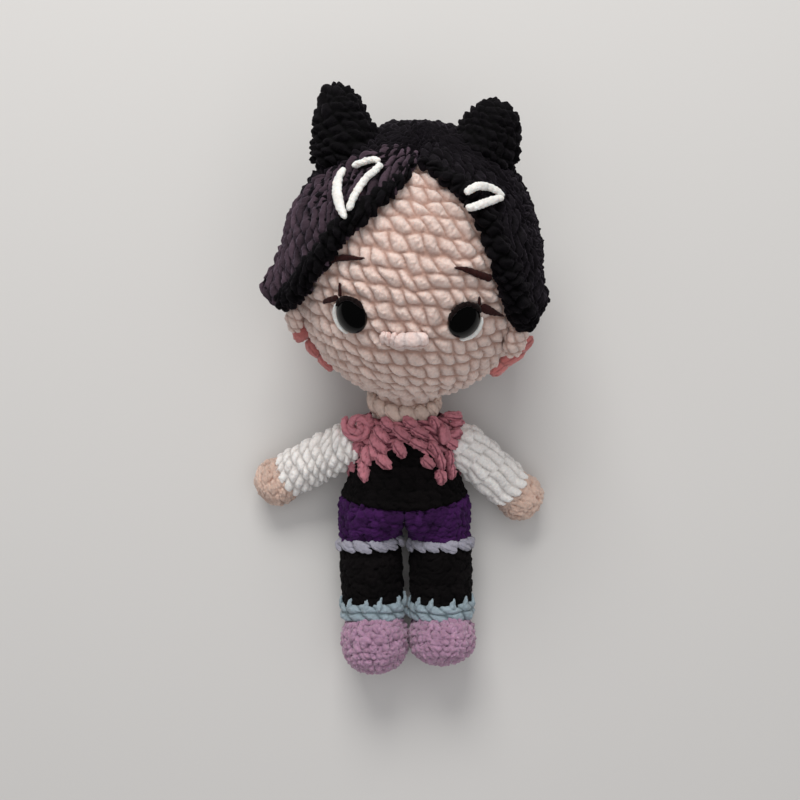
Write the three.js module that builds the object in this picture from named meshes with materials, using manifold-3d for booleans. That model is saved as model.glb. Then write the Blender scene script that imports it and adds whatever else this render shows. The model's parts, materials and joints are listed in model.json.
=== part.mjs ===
// A crocheted chenille-yarn doll, lying on its back, in millimetres.
// +X is the doll's left side, +Y runs towards the head and +Z is up, out of the face.
// The origin lies under the hips, on the flat where the doll rests.
import * as THREE from 'three';
import * as BufferGeometryUtils from 'three/addons/utils/BufferGeometryUtils.js';
import Module from 'manifold-3d';

const wasm = await Module();
wasm.setup();
const { Manifold } = wasm;

// fabric and fits
const skinWall = 3;
const seamGap = 0.3;
const restFlat = 0.5;
const cutOverrun = 120;
const yarnDiameter = 3;

// head: half width, half height and half depth of the crocheted skin
const headHalfWidth = 52;
const headHalfHeight = 57;
const headHalfDepth = 50;
const cheekFullness = 0.88;
const hairThickness = 4.7;
const rimThickness = 4;
const headFlex = 25;
const headRoll = -4.5;

// neck: balls at both ends let it nod in the yoke and the head turn on it
const neckRadius = 14;
const neckBallRadius = 14.6;
const neckLength = 17;
const neckNodBack = 12;
const neckNodForward = 8;
const neckBaseX = -0.4;
const neckBaseY = 50;
const neckBaseZ = 26.5;
const chinClearance = 12;

// torso
const hipsHalfWidth = 30.3;
const hipsHalfDepth = 20.5;
const hipsRestZ = 19.1;
const torsoTilt = 8;
const torsoTopY = 49;
const yokeTopFrontY = 46.4;
const torsoBottomY = -5;
const yokeEdgeSideY = 20;
const yokeEdgeFrontY = 33;
const yokeEdgeBackY = 24;
const shortsEdgeSideY = 11.5;
const shortsEdgeFrontY = 7.7;

// arms
const armRadius = 10.3;
const armRootShare = 0.68;
const armRootRadius = armRootShare * armRadius;
const armLength = 52.5;
const handShare = 1.07;
const handRadius = handShare * armRadius;
const handLength = 18;
const shoulderX = 26;
const shoulderY = 35;
const shoulderZ = 26.5;

// legs
const legRadius = 14.1;
const legRootRadius = 11.6;
const hipX = 16.4;
const hipY = -1;
const hipZ = 17.6;
const legTilt = 2;
const shortsLegEnd = 7.3;
const garterLength = 5.4;
const stockingLength = 22.4;
const cuffLength = 7.6;
const shoeHalfWidth = 15.1;
const shoeHalfLength = 14.2;
const leftShoeShare = 0.84;
const shoeHalfHeight = 19.4;
const legFlexLimit = 50;

// face
const eyeHalfWidth = 7;
const eyeHalfHeight = 7.3;
const eyeDome = 4.2;
const eyePostRadius = 1.6;
const eyePostLength = 11;
const washerRadius = 5.5;
const washerThickness = 1.4;
const whiteWidth = 2.6;
const whiteThickness = 0.8;
const lashYarn = 1.6;
const browYarn = 2.2;
const noseYarn = 5.4;
const noseHalfLength = 8.6;
const clipYarn = 2.8;
const rightTuftHeight = 28.5;
const rightTuftHalfWidth = 15;
const rightTuftHalfDepth = 10;
const leftTuftHeight = 25;
const leftTuftHalfWidth = 14.5;
const leftTuftHalfDepth = 11;

const skinColor = '#d9bdb0';
const hairColor = '#2a2126';
const hairTopColor = '#3b3038';
const coralColor = '#bd6360';
const stuffingColor = '#efece6';
const roseColor = '#ad6671';
const blackYarnColor = '#141013';
const purpleColor = '#3c1c54';
const sleeveColor = '#d8d2ce';
const garterColor = '#b4b2bc';
const cuffColor = '#a9bdc0';
const shoeColor = '#ae88a8';
const lashColor = '#2a1010';
const creamColor = '#e6e2dc';
const eyeColor = '#060606';
const washerColor = '#dcdcd8';

const rad = THREE.MathUtils.degToRad;
const lerp = THREE.MathUtils.lerp;
const fullTurn = 2 * Math.PI;
const doll = new THREE.Group();

function yarnMaterial(color) {
  return new THREE.MeshStandardMaterial({ color, roughness: 0.95, metalness: 0 });
}

function plasticMaterial(color, roughness) {
  return new THREE.MeshStandardMaterial({ color, roughness, metalness: 0 });
}

function addPiece(parent, name, geometry, material) {
  const mesh = new THREE.Mesh(geometry, material);
  mesh.name = name;
  parent.add(mesh);
  return mesh;
}

function addGroup(parent, x, y, z, rx, ry, rz) {
  const group = new THREE.Group();
  group.position.set(x, y, z);
  group.rotation.set(rad(rx), rad(ry), rad(rz), 'ZYX');
  parent.add(group);
  return group;
}

// booleans on closed meshes
function toSolid(geometry) {
  const bare = geometry.clone();
  bare.deleteAttribute('normal');
  bare.deleteAttribute('uv');
  const merged = BufferGeometryUtils.mergeVertices(bare);
  return new Manifold(new wasm.Mesh({
    numProp: 3,
    vertProperties: new Float32Array(merged.attributes.position.array),
    triVerts: new Uint32Array(merged.index.array),
  }));
}

function toGeometry(solid) {
  const mesh = solid.getMesh();
  const geometry = new THREE.BufferGeometry();
  geometry.setAttribute('position', new THREE.BufferAttribute(new Float32Array(mesh.vertProperties), 3));
  geometry.setIndex(new THREE.BufferAttribute(new Uint32Array(mesh.triVerts), 1));
  return geometry;
}

function cutBy(geometry, ...cutters) {
  const left = cutters.reduce((body, cutter) => body.subtract(toSolid(cutter)), toSolid(geometry));
  return toGeometry(left);
}

// a closed body from a grid of outer points and a grid of inner points
// u runs round or across, v runs along; a pole closes the last row to one point
function shellBetween(outerAt, innerAt, uSteps, vSteps, { round = false, pole = false } = {}) {
  const points = [];
  const triangles = [];
  const columns = round ? uSteps : uSteps + 1;
  const rows = pole ? vSteps : vSteps + 1;
  const makeSide = (pointAt) => {
    const start = points.length;
    for (let v = 0; v < rows; v += 1) {
      for (let u = 0; u < columns; u += 1) points.push(pointAt(u / uSteps, v / vSteps));
    }
    if (pole) points.push(pointAt(0, 1));
    return (u, v) => (v === rows ? start + rows * columns : start + v * columns + (u % columns));
  };
  const outer = makeSide(outerAt);
  const inner = makeSide(innerAt);
  const addQuad = (a, b, c, d) => {
    if (a !== b && b !== c) triangles.push(a, b, c);
    if (a !== d && c !== d) triangles.push(a, c, d);
  };
  const lastU = round ? uSteps : columns - 1;
  const lastV = pole ? rows : rows - 1;
  for (let v = 0; v < lastV; v += 1) {
    for (let u = 0; u < lastU; u += 1) {
      addQuad(outer(u, v), outer(u + 1, v), outer(u + 1, v + 1), outer(u, v + 1));
      addQuad(inner(u, v + 1), inner(u + 1, v + 1), inner(u + 1, v), inner(u, v));
    }
  }
  for (let u = 0; u < lastU; u += 1) {
    addQuad(inner(u, 0), inner(u + 1, 0), outer(u + 1, 0), outer(u, 0));
    if (!pole) addQuad(outer(u, lastV), outer(u + 1, lastV), inner(u + 1, lastV), inner(u, lastV));
  }
  if (!round) {
    for (let v = 0; v < lastV; v += 1) {
      addQuad(inner(0, v), outer(0, v), outer(0, v + 1), inner(0, v + 1));
      addQuad(outer(lastU, v), inner(lastU, v), inner(lastU, v + 1), outer(lastU, v + 1));
    }
  }
  return facingOut(points, triangles);
}

// a closed body between two poles on the Y axis of its rings
function loft(ringAt, uSteps, vSteps) {
  const points = [ringAt(0, 0)];
  const triangles = [];
  for (let v = 1; v < vSteps; v += 1) {
    for (let u = 0; u < uSteps; u += 1) points.push(ringAt(u / uSteps, v / vSteps));
  }
  points.push(ringAt(0, 1));
  const at = (u, v) => 1 + (v - 1) * uSteps + (u % uSteps);
  for (let u = 0; u < uSteps; u += 1) {
    triangles.push(0, at(u + 1, 1), at(u, 1));
    for (let v = 1; v < vSteps - 1; v += 1) {
      triangles.push(at(u, v), at(u + 1, v), at(u + 1, v + 1));
      triangles.push(at(u, v), at(u + 1, v + 1), at(u, v + 1));
    }
    triangles.push(at(u, vSteps - 1), at(u + 1, vSteps - 1), points.length - 1);
  }
  return facingOut(points, triangles);
}

// turns the faces outwards when the signed volume says that they point in
function facingOut(points, triangles) {
  let volume = 0;
  for (let i = 0; i < triangles.length; i += 3) {
    const [a, b, c] = [points[triangles[i]], points[triangles[i + 1]], points[triangles[i + 2]]];
    volume += a.dot(b.clone().cross(c));
  }
  const facing = volume > 0 ? triangles : triangles.slice().reverse();
  const geometry = new THREE.BufferGeometry().setFromPoints(points);
  geometry.setIndex(facing);
  return geometry;
}

// a yarn tube along points, closed at both ends
function yarnAlong(points, diameter, steps, sides = 6) {
  const section = new THREE.Shape();
  for (let i = 0; i < sides; i += 1) {
    const angle = (i / sides) * fullTurn;
    const [x, y] = [Math.cos(angle) * diameter / 2, Math.sin(angle) * diameter / 2];
    if (i === 0) section.moveTo(x, y);
    else section.lineTo(x, y);
  }
  section.closePath();
  const path = new THREE.CatmullRomCurve3(points);
  return new THREE.ExtrudeGeometry(section, { steps, extrudePath: path, curveSegments: 1 });
}

function ballAt(radius, x, y, z, sides = 16) {
  const ball = new THREE.SphereGeometry(radius, sides, sides / 2);
  ball.translate(x, y, z);
  return ball;
}

// everything under the surface that the doll lies on, seen from a piece's own frame
function floorCutter(frame) {
  const below = new THREE.BoxGeometry(4 * cutOverrun, 4 * cutOverrun, cutOverrun);
  below.translate(0, 0, -cutOverrun / 2);
  frame.updateWorldMatrix(true, false);
  return below.applyMatrix4(frame.matrixWorld.clone().invert());
}

// ---- head frame: longitude 0 is the face, +90 the doll's left; latitude 90 is the crown
function skullPoint(lon, lat, lift) {
  const [lo, la] = [rad(lon), rad(lat)];
  const ring = lat < 0 ? Math.cos(la) ** cheekFullness : Math.max(0, Math.cos(la));
  return new THREE.Vector3(
    (headHalfWidth + lift) * Math.sin(lo) * ring,
    (headHalfHeight + lift) * Math.sin(la),
    (headHalfDepth + lift) * Math.cos(lo) * ring,
  );
}

// smooth curve of longitude, latitude and lift through a few points
function headCurve(places) {
  const curve = new THREE.CatmullRomCurve3(places.map((p) => new THREE.Vector3(p[0], p[1], p[2] ?? 0)));
  const nudge = 0.01;
  return (t) => {
    const inside = THREE.MathUtils.clamp(t, 0, 1);
    const point = curve.getPoint(inside);
    if (t === inside) return point;
    const before = curve.getPoint(inside === 0 ? nudge : inside - nudge);
    const slope = point.clone().sub(before).divideScalar(nudge);
    return point.addScaledVector(slope, Math.abs(t - inside));
  };
}

// a frame on the skin: X to the doll's left, Y up the face, Z out of the skin
function skinFrame(lon, lat, lift) {
  const step = 0.5;
  const origin = skullPoint(lon, lat, lift);
  const east = skullPoint(lon + step, lat, lift).sub(skullPoint(lon - step, lat, lift)).normalize();
  const north = skullPoint(lon, lat + step, lift).sub(skullPoint(lon, lat - step, lift)).normalize();
  const out = east.clone().cross(north).normalize();
  return new THREE.Matrix4().makeBasis(east, out.clone().cross(east), out).setPosition(origin);
}

// a place a few millimetres right of and above a point of the skin
function besideOnSkin(lon, lat, right, up, lift) {
  const ring = headHalfWidth * Math.cos(rad(lat));
  return skullPoint(
    lon + THREE.MathUtils.radToDeg(right / ring),
    lat + THREE.MathUtils.radToDeg(up / headHalfHeight),
    lift,
  );
}

const neckGroup = addGroup(doll, neckBaseX, neckBaseY, neckBaseZ, headFlex, 0, headRoll);
const headGroup = addGroup(neckGroup, 0, chinClearance + headHalfHeight, 0, 0, 0, 0);
const neckTopY = neckLength - chinClearance - headHalfHeight;

// ---- neck
const neckOpeningShare = 0.8;
const neckSides = 16;

function neckRingRadius(y) {
  const lower = Math.sqrt(Math.max(0, neckBallRadius ** 2 - y ** 2));
  const upper = Math.sqrt(Math.max(0, neckBallRadius ** 2 - (y - neckLength) ** 2));
  return Math.max(lower, upper, y > 0 && y < neckLength ? neckRadius : 0);
}

function neckPoint(u, v, lift) {
  const reach = neckOpeningShare * neckBallRadius;
  const y = lerp(-reach, neckLength + reach, v);
  const radius = neckRingRadius(y) + lift;
  return new THREE.Vector3(radius * Math.sin(u * fullTurn), y, radius * Math.cos(u * fullTurn));
}

function makeNeck() {
  const rings = 8;
  const skin = shellBetween(
    (u, v) => neckPoint(u, v, 0),
    (u, v) => neckPoint(u, v, -skinWall),
    neckSides, rings, { round: true },
  );
  addPiece(neckGroup, 'neck', skin, yarnMaterial(skinColor));
  const core = loft((u, v) => {
    const point = neckPoint(u, v, -skinWall - seamGap);
    return v === 0 || v === 1 ? point.set(0, point.y, 0) : point;
  }, neckSides / 2, rings);
  addPiece(neckGroup, 'neck_stuffing', core, yarnMaterial(stuffingColor));
}

// ---- head
// lashes are shares of the eye's half width and height, outwards and up
const eyes = [
  {
    side: 'left', lon: 24.9, lat: -6.2, whiteFrom: -70, whiteTo: 12, out: 1,
    lashShares: [
      [1.9, 0.1], [1.34, 0.36], [0.76, 0.78], [0.32, 0.98], [-0.16, 1.06], [-0.67, 0.98], [-1.02, 0.71],
    ],
  },
  {
    side: 'right', lon: -27.4, lat: -8.2, whiteFrom: 160, whiteTo: 275, out: -1,
    lashShares: [
      [1.85, 0.3], [1.3, 0.55], [0.86, 0.82], [0.35, 1], [-0.2, 1.06], [-0.65, 1], [-0.97, 0.7],
    ],
  },
];
const headSides = 28;
const headRings = 14;
const skinOpeningLat = -73;

// the whole head a little larger, on the same facets as its skin, to seat what lies on it
function skullSolid(lift) {
  const rings = headRings + 1;
  return loft((u, v) => {
    const row = Math.round(v * rings);
    const lat = row === 0 ? -90 : lerp(skinOpeningLat, 90, (row - 1) / headRings);
    return skullPoint(360 * u, lat, lift);
  }, headSides, rings);
}

function eyePocket(eye, radius, depth) {
  const pocket = new THREE.CylinderGeometry(radius, radius, 2 * depth, 12);
  pocket.rotateX(Math.PI / 2);
  return pocket.applyMatrix4(skinFrame(eye.lon, eye.lat, 0));
}

function makeHead() {
  const at = (lift, lowLat) => (u, v) => skullPoint(360 * u, lerp(lowLat, 90, v), lift);
  const skin = shellBetween(
    at(0, skinOpeningLat), at(-skinWall, skinOpeningLat), headSides, headRings, { round: true, pole: true },
  );
  const postHole = eyePostRadius * (eyeHalfHeight / eyeHalfWidth) + seamGap;
  const holes = eyes.map((eye) => eyePocket(eye, postHole, 2 * skinWall));
  addPiece(headGroup, 'head_skin', cutBy(skin, ...holes), yarnMaterial(skinColor));

  const core = loft(at(-skinWall - 2 * seamGap, -90), headSides / 2, headRings / 2);
  const neckPocket = ballAt(neckBallRadius + 2 * seamGap, 0, neckTopY, 0);
  const pockets = eyes.map((eye) => eyePocket(eye, washerRadius + seamGap, eyePostLength + seamGap));
  addPiece(headGroup, 'head_stuffing', cutBy(core, neckPocket, ...pockets), yarnMaterial(stuffingColor));
}

function makeEye(eye) {
  const arcSteps = 4;
  const profile = [];
  for (let i = 0; i <= arcSteps; i += 1) {
    const angle = (i / arcSteps) * (Math.PI / 2);
    profile.push(new THREE.Vector2(eyeHalfWidth * Math.sin(angle), eyeDome * Math.cos(angle) + seamGap));
  }
  profile[0].x = 0;
  profile.push(new THREE.Vector2(eyePostRadius, seamGap));
  profile.push(new THREE.Vector2(eyePostRadius, -eyePostLength));
  profile.push(new THREE.Vector2(0, -eyePostLength));
  const button = new THREE.LatheGeometry(profile.reverse(), 16);
  button.rotateX(Math.PI / 2);
  button.scale(1, eyeHalfHeight / eyeHalfWidth, 1);
  const frame = skinFrame(eye.lon, eye.lat, 0);
  addPiece(headGroup, `${eye.side}_eye`, button.applyMatrix4(frame), plasticMaterial(eyeColor, 0.1));

  const bore = eyePostRadius * (eyeHalfHeight / eyeHalfWidth) + seamGap;
  const front = -skinWall - 3 * seamGap;
  const back = front - washerThickness;
  const ring = [[bore, back], [washerRadius, back], [washerRadius, front], [bore, front], [bore, back]];
  const washer = new THREE.LatheGeometry(ring.map((p) => new THREE.Vector2(...p)), 14);
  washer.rotateX(Math.PI / 2);
  washer.applyMatrix4(frame);
  addPiece(headGroup, `${eye.side}_eye_washer`, washer, plasticMaterial(washerColor, 0.5));
}

function makeEyeWhite(eye) {
  const steps = 10;
  const tipShare = 0.25;
  const inner = [];
  const outer = [];
  for (let i = 0; i <= steps; i += 1) {
    const angle = rad(lerp(eye.whiteFrom, eye.whiteTo, i / steps));
    const width = whiteWidth * Math.max(tipShare, Math.sin(Math.PI * i / steps));
    const at = (gap) => new THREE.Vector2(
      (eyeHalfWidth + gap) * Math.cos(angle),
      (eyeHalfHeight + gap) * Math.sin(angle),
    );
    inner.push(at(seamGap));
    outer.push(at(seamGap + width));
  }
  const shape = new THREE.Shape(outer.concat(inner.reverse()));
  const crescent = new THREE.ExtrudeGeometry(shape, { depth: whiteThickness, bevelEnabled: false });
  crescent.translate(0, 0, seamGap);
  crescent.applyMatrix4(skinFrame(eye.lon, eye.lat, 0));
  addPiece(headGroup, `${eye.side}_eye_white`, crescent, yarnMaterial(creamColor));
}

// a lash line runs from its wing over the eye and a little down the nose side
function makeLashes(eye) {
  const out = eye.out;
  const gap = seamGap + lashYarn / 2;
  const points = eye.lashShares.map(([right, up]) => besideOnSkin(
    eye.lon, eye.lat, out * (eyeHalfWidth + gap) * right, (eyeHalfHeight + gap) * up, gap,
  ));
  addPiece(headGroup, `${eye.side}_lashes`, yarnAlong(points, lashYarn, 10, 5), yarnMaterial(lashColor));
}

function makeFaceStitches() {
  const brows = {
    left: [[17.8, 16.4], [24, 14.9], [31.5, 12.4]],
    right: [[-22.6, 16.4], [-27, 16.1], [-30.5, 15.4]],
  };
  for (const [side, places] of Object.entries(brows)) {
    const points = places.map(([lon, lat]) => skullPoint(lon, lat, seamGap + browYarn / 2));
    addPiece(headGroup, `${side}_brow`, yarnAlong(points, browYarn, 6, 5), yarnMaterial(lashColor));
  }
  const noseLon = -2.6;
  const noseLat = -12.8;
  const noseSides = 10;
  const noseRings = 6;
  const nose = new THREE.SphereGeometry(1, noseSides, noseRings);
  nose.scale(noseHalfLength, 0.62 * noseYarn, noseYarn / 2);
  nose.rotateZ(rad(-3));
  nose.applyMatrix4(skinFrame(noseLon, noseLat, noseYarn / 2 + seamGap));
  addPiece(headGroup, 'nose_stitch', nose, yarnMaterial(skinColor));
}

function makeEar(side, { lon, lat }) {
  const earHalfWidth = 6.4;
  const earHalfHeight = 7.5;
  const earHalfDepth = 4.2;
  const ear = new THREE.SphereGeometry(1, 10, 7);
  ear.scale(earHalfWidth, earHalfHeight, earHalfDepth);
  ear.applyMatrix4(skinFrame(lon, lat, 0.85 * earHalfDepth));
  const spread = 0.015;
  const room = fringeBlock(fringes[side], -spread, spread);
  addPiece(headGroup, `${side}_ear`, cutBy(ear, skullSolid(seamGap), room), yarnMaterial(skinColor));
}

// ---- hair: the cap's lower edge by longitude, in degrees
const capEdge = [
  [-180, -38], [-112, -31], [-94, -21], [-89, -5], [-72, -4], [-62, 14], [-45, 28], [-26, 48], [-7, 64],
  [10, 64], [27, 49], [42, 30], [56, 12], [66, -3], [72, -5], [89, -5], [94, -21], [112, -31], [180, -38],
];

function capEdgeLat(lon) {
  const next = capEdge.findIndex(([edgeLon]) => edgeLon >= lon);
  if (next <= 0) return capEdge[0][1];
  const [[lonA, latA], [lonB, latB]] = [capEdge[next - 1], capEdge[next]];
  const even = (lon - lonA) / (lonB - lonA);
  return lerp(latA, latB, (THREE.MathUtils.smoothstep(lon, lonA, lonB) + even) / 2);
}

// fringe panels: both edges from parting to tip, as longitude, latitude and lift, a share of the hair
const fringes = {
  right: {
    inner: [[-6, 58, 0], [-12, 51.5, 0], [-16.5, 42.5, 0], [-22, 33.5, 0], [-29, 24, 0], [-36, 15.5, 0],
      [-43.5, 6, 0], [-51.5, -3, 0.3], [-59, -9, 0.4], [-67, -14.5, 0.5]],
    outer: [[-5, 64, 0], [-18, 67.5, 0], [-34, 66.5, 0], [-48, 61.5, 0], [-59, 54.5, 0], [-68, 45.5, 0],
      [-77, 35, 0], [-81, 23, 0.15], [-83, 9, 0.75], [-83, -3, 1.7], [-80, -12.5, 1.8]],
  },
  left: {
    inner: [[-3, 58, 0], [6.5, 54.5, 0], [14, 50.5, 0], [22, 46, 0], [29, 38.5, 0], [33.5, 29.5, 0],
      [36, 20, 0], [39.5, 9, 0], [43.5, 0, 0.2], [50, -9, 0.35]],
    outer: [[-4, 68, 0], [11, 70, 0], [26, 67.5, 0], [40, 61.5, 0], [51, 51.5, 0], [57, 40, 0],
      [61, 26, 0], [67, 10, 0.1], [72, -1, 0.3], [69, -10.5, 0.4]],
  },
};

function fringePoint(panel, u, v, lift) {
  const inner = headCurve(panel.inner)(v);
  const outer = headCurve(panel.outer)(v);
  const raised = lerp(inner.z, outer.z, u) * hairThickness;
  return skullPoint(lerp(inner.x, outer.x, u), lerp(inner.y, outer.y, u), raised + lift);
}

// a deep block over a panel, wider by a share of it on every side
function fringeBlock(panel, from, spread) {
  const at = (lift) => (u, v) => (
    fringePoint(panel, lerp(from, 1 + spread, u), lerp(0.3 * from, 1 + spread, v), lift)
  );
  return shellBetween(at(4 * hairThickness), at(-hairThickness), 4, 11);
}

function makeHair() {
  const skull = skullSolid(seamGap);
  const sunk = -skinWall;
  const rimShare = 0.22;
  const rimLift = (u) => hairThickness + rimThickness * Math.max(0, 1 - (u / rimShare - 0.5) ** 2);
  const partGap = 0.012;
  for (const [side, panel] of Object.entries(fringes)) {
    const strip = shellBetween(
      (u, v) => fringePoint(panel, u, lerp(partGap, 1, v), rimLift(u)),
      (u, v) => fringePoint(panel, u, lerp(partGap, 1, v), sunk),
      6, 11,
    );
    const color = side === 'left' ? hairColor : hairTopColor;
    addPiece(headGroup, `${side}_fringe`, cutBy(strip, skull), yarnMaterial(color));
  }
  const panelRoom = Object.values(fringes).map((panel) => fringeBlock(panel, -0.1, 0.07));

  const capAt = (lift) => (u, v) => {
    const lon = lerp(-180, 180, u);
    return skullPoint(lon, lerp(capEdgeLat(lon), 90, v), lift);
  };
  const cap = shellBetween(capAt(hairThickness), capAt(sunk), 30, 8, { round: true, pole: true });
  const capCut = cutBy(cap, skull, ...panelRoom, floorCutter(headGroup));
  addPiece(headGroup, 'hair_cap', capCut, yarnMaterial(hairColor));

  const coralScallops = 9;
  const coralBulge = skinWall / 2;
  const coralAt = (lift) => (u, v) => {
    const lon = lerp(94, 266, u);
    const edge = capEdgeLat(lon > 180 ? lon - 360 : lon);
    const wave = u * coralScallops * Math.PI;
    const lowLat = -50 - 2.2 * Math.abs(Math.sin(wave));
    return skullPoint(lon, lerp(edge - 1.2, lowLat, v), lift + coralBulge * Math.abs(Math.cos(wave)));
  };
  const coral = shellBetween(coralAt(hairThickness), coralAt(sunk), 27, 2);
  addPiece(headGroup, 'under_hair', cutBy(coral, skull, floorCutter(headGroup)), yarnMaterial(coralColor));
}

// a tuft is a blunt cone of hair yarn, cut by the cap that it is sewn to
function makeTuft(side, { lon, lat, height, halfWidth, halfDepth, lean }) {
  const sink = 0.35 * height;
  const base = skullPoint(lon, lat, 0);
  const axis = new THREE.Vector3(...lean).normalize();
  const turn = new THREE.Quaternion().setFromUnitVectors(new THREE.Vector3(0, 1, 0), axis);
  const tuft = loft((u, v) => {
    const share = Math.sin(Math.acos(Math.min(1, v))) ** 0.8 * (v === 0 ? 0 : 1);
    const y = lerp(-sink, height, v);
    const angle = u * fullTurn;
    return new THREE.Vector3(halfWidth * share * Math.sin(angle), y, halfDepth * share * Math.cos(angle));
  }, 12, 6);
  tuft.applyQuaternion(turn);
  tuft.translate(base.x, base.y, base.z);
  const seat = skullSolid(hairThickness + 2 * seamGap);
  addPiece(headGroup, `${side}_hair_tuft`, cutBy(tuft, seat), yarnMaterial(hairColor));
}

function makeClips() {
  const lift = hairThickness + 0.8 * rimThickness + seamGap + clipYarn / 2;
  const clips = {
    right: [[-34, 29.5], [-40, 33.4], [-47.7, 38.8], [-52, 45], [-44, 50.4], [-35.2, 53.4], [-27, 51.4],
      [-28, 45], [-30, 38.5], [-30.6, 33]],
    left: [[20.2, 41.6], [25.3, 43.8], [32.2, 44.6], [41.1, 43.8], [44.4, 41], [38.2, 39], [31.9, 38.2],
      [26.2, 37.4], [21.5, 36.6]],
  };
  for (const [side, places] of Object.entries(clips)) {
    const points = places.map(([lon, lat]) => skullPoint(lon, lat, lift));
    addPiece(headGroup, `${side}_hair_clip`, yarnAlong(points, clipYarn, 16, 5), yarnMaterial(creamColor));
  }
}

// ---- torso: half width and half depth along its own Y, as shares of the hips
const torsoShares = [
  [-0.14, 0.93, 0.94], [0, 0.995, 1], [0.12, 1, 0.985], [0.24, 0.955, 0.95], [0.36, 0.86, 0.915],
  [0.5, 0.775, 0.885], [0.66, 0.755, 0.88], [0.8, 0.745, 0.88], [0.9, 0.7, 0.88], [1, 0.63, 0.875],
];
const torsoGroup = addGroup(doll, 0, 0, hipsRestZ, torsoTilt, 0, 0);

function torsoSize(y) {
  const share = y / torsoTopY;
  const last = torsoShares.length - 1;
  const next = Math.min(last, Math.max(1, torsoShares.findIndex(([at]) => at >= share)));
  const b = share >= 1 ? torsoShares[last] : torsoShares[next];
  const a = share >= 1 ? torsoShares[last - 1] : torsoShares[next - 1];
  const t = (share - a[0]) / (b[0] - a[0]);
  return { halfWidth: hipsHalfWidth * lerp(a[1], b[1], t), halfDepth: hipsHalfDepth * lerp(a[2], b[2], t) };
}

// u runs round the torso from the front over the doll's left side
function torsoPoint(u, y, lift) {
  const { halfWidth, halfDepth } = torsoSize(y);
  const angle = u * fullTurn;
  return new THREE.Vector3((halfWidth + lift) * Math.sin(angle), y, (halfDepth + lift) * Math.cos(angle));
}

// an edge height that differs at the front, the sides and the back
function edgeHeight(u, front, side, back) {
  const toFront = Math.cos(u * fullTurn);
  const end = toFront > 0 ? front : back;
  return lerp(side, end, Math.abs(toFront) ** 1.5);
}

const yokeTop = (u) => edgeHeight(u, yokeTopFrontY, torsoTopY - seamGap, torsoTopY);
const yokeEdge = (u) => edgeHeight(u, yokeEdgeFrontY, yokeEdgeSideY, yokeEdgeBackY);
const shortsEdge = (u) => edgeHeight(u, shortsEdgeFrontY, shortsEdgeSideY, shortsEdgeSideY);

function torsoBand(lowAt, highAt, rings) {
  const at = (lift) => (u, v) => torsoPoint(u, lerp(lowAt(u), highAt(u), v), lift);
  return shellBetween(at(0), at(-skinWall), 24, rings, { round: true });
}

// ---- limbs, each along the Y axis of its own frame
function limbPoint(radiusAt, u, y, lift) {
  const radius = Math.max(0, radiusAt(y) + lift);
  return new THREE.Vector3(radius * Math.sin(u * fullTurn), y, radius * Math.cos(u * fullTurn));
}

function limbRing(radiusAt, from, to, wall, rings, sides) {
  const at = (lift) => (u, v) => limbPoint(radiusAt, u, lerp(from, to, v), lift);
  return shellBetween(at(0), at(-wall), sides, rings, { round: true });
}

function legRadiusAt(y) {
  if (y <= 0) return Math.sqrt(Math.max(0, legRootRadius ** 2 - y ** 2));
  return lerp(legRootRadius, legRadius, THREE.MathUtils.smoothstep(y, 0, shortsLegEnd));
}

const legStations = {};
legStations.garter = shortsLegEnd + seamGap;
legStations.stocking = legStations.garter + garterLength + seamGap;
legStations.cuff = legStations.stocking + stockingLength + seamGap;
legStations.shoe = legStations.cuff + cuffLength + seamGap;
const legSides = 16;

// turned from straight down towards the doll's left, in degrees
const legYaw = { [-1]: 3, [1]: 1 };

function makeLegGroup(sign, bend = 0) {
  const leg = addGroup(doll, sign * hipX, hipY, hipZ, 0, 0, 0);
  const turned = new THREE.Euler(rad(180 + legTilt), 0, rad(legYaw[sign]), 'ZYX');
  const lying = new THREE.Quaternion().setFromEuler(turned);
  const bent = new THREE.Quaternion().setFromAxisAngle(new THREE.Vector3(1, 0, 0), -rad(bend));
  leg.quaternion.copy(bent.multiply(lying));
  return leg;
}

// the space that a leg sweeps while it bends forward, seen from a frame of the torso
function legSweep(sign, frame, { clearance, rootShares, shortsLegShares, sides, bends }) {
  const stations = rootShares.map((share) => share * (legRootRadius + clearance))
    .concat(shortsLegShares.map((share) => share * shortsLegEnd), legStations.cuff, legStations.cuff);
  const last = stations.length - 1;
  const body = loft((u, v) => {
    const row = Math.round(v * last);
    const y = stations[row];
    const root = Math.sqrt(Math.max(0, (legRootRadius + clearance) ** 2 - y ** 2));
    const radius = y < 0 ? root : legRadiusAt(y) + clearance;
    const ring = row === 0 || row === last ? 0 : radius;
    return new THREE.Vector3(ring * Math.sin(u * fullTurn), y, ring * Math.cos(u * fullTurn));
  }, sides, last);
  frame.updateWorldMatrix(true, false);
  const toFrame = frame.matrixWorld.clone().invert();
  const sweep = [];
  for (let i = 0; i <= bends; i += 1) {
    const leg = makeLegGroup(sign, (i / bends) * legFlexLimit);
    leg.updateWorldMatrix(true, false);
    sweep.push(body.clone().applyMatrix4(leg.matrixWorld).applyMatrix4(toFrame));
    doll.remove(leg);
  }
  return sweep;
}

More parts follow.
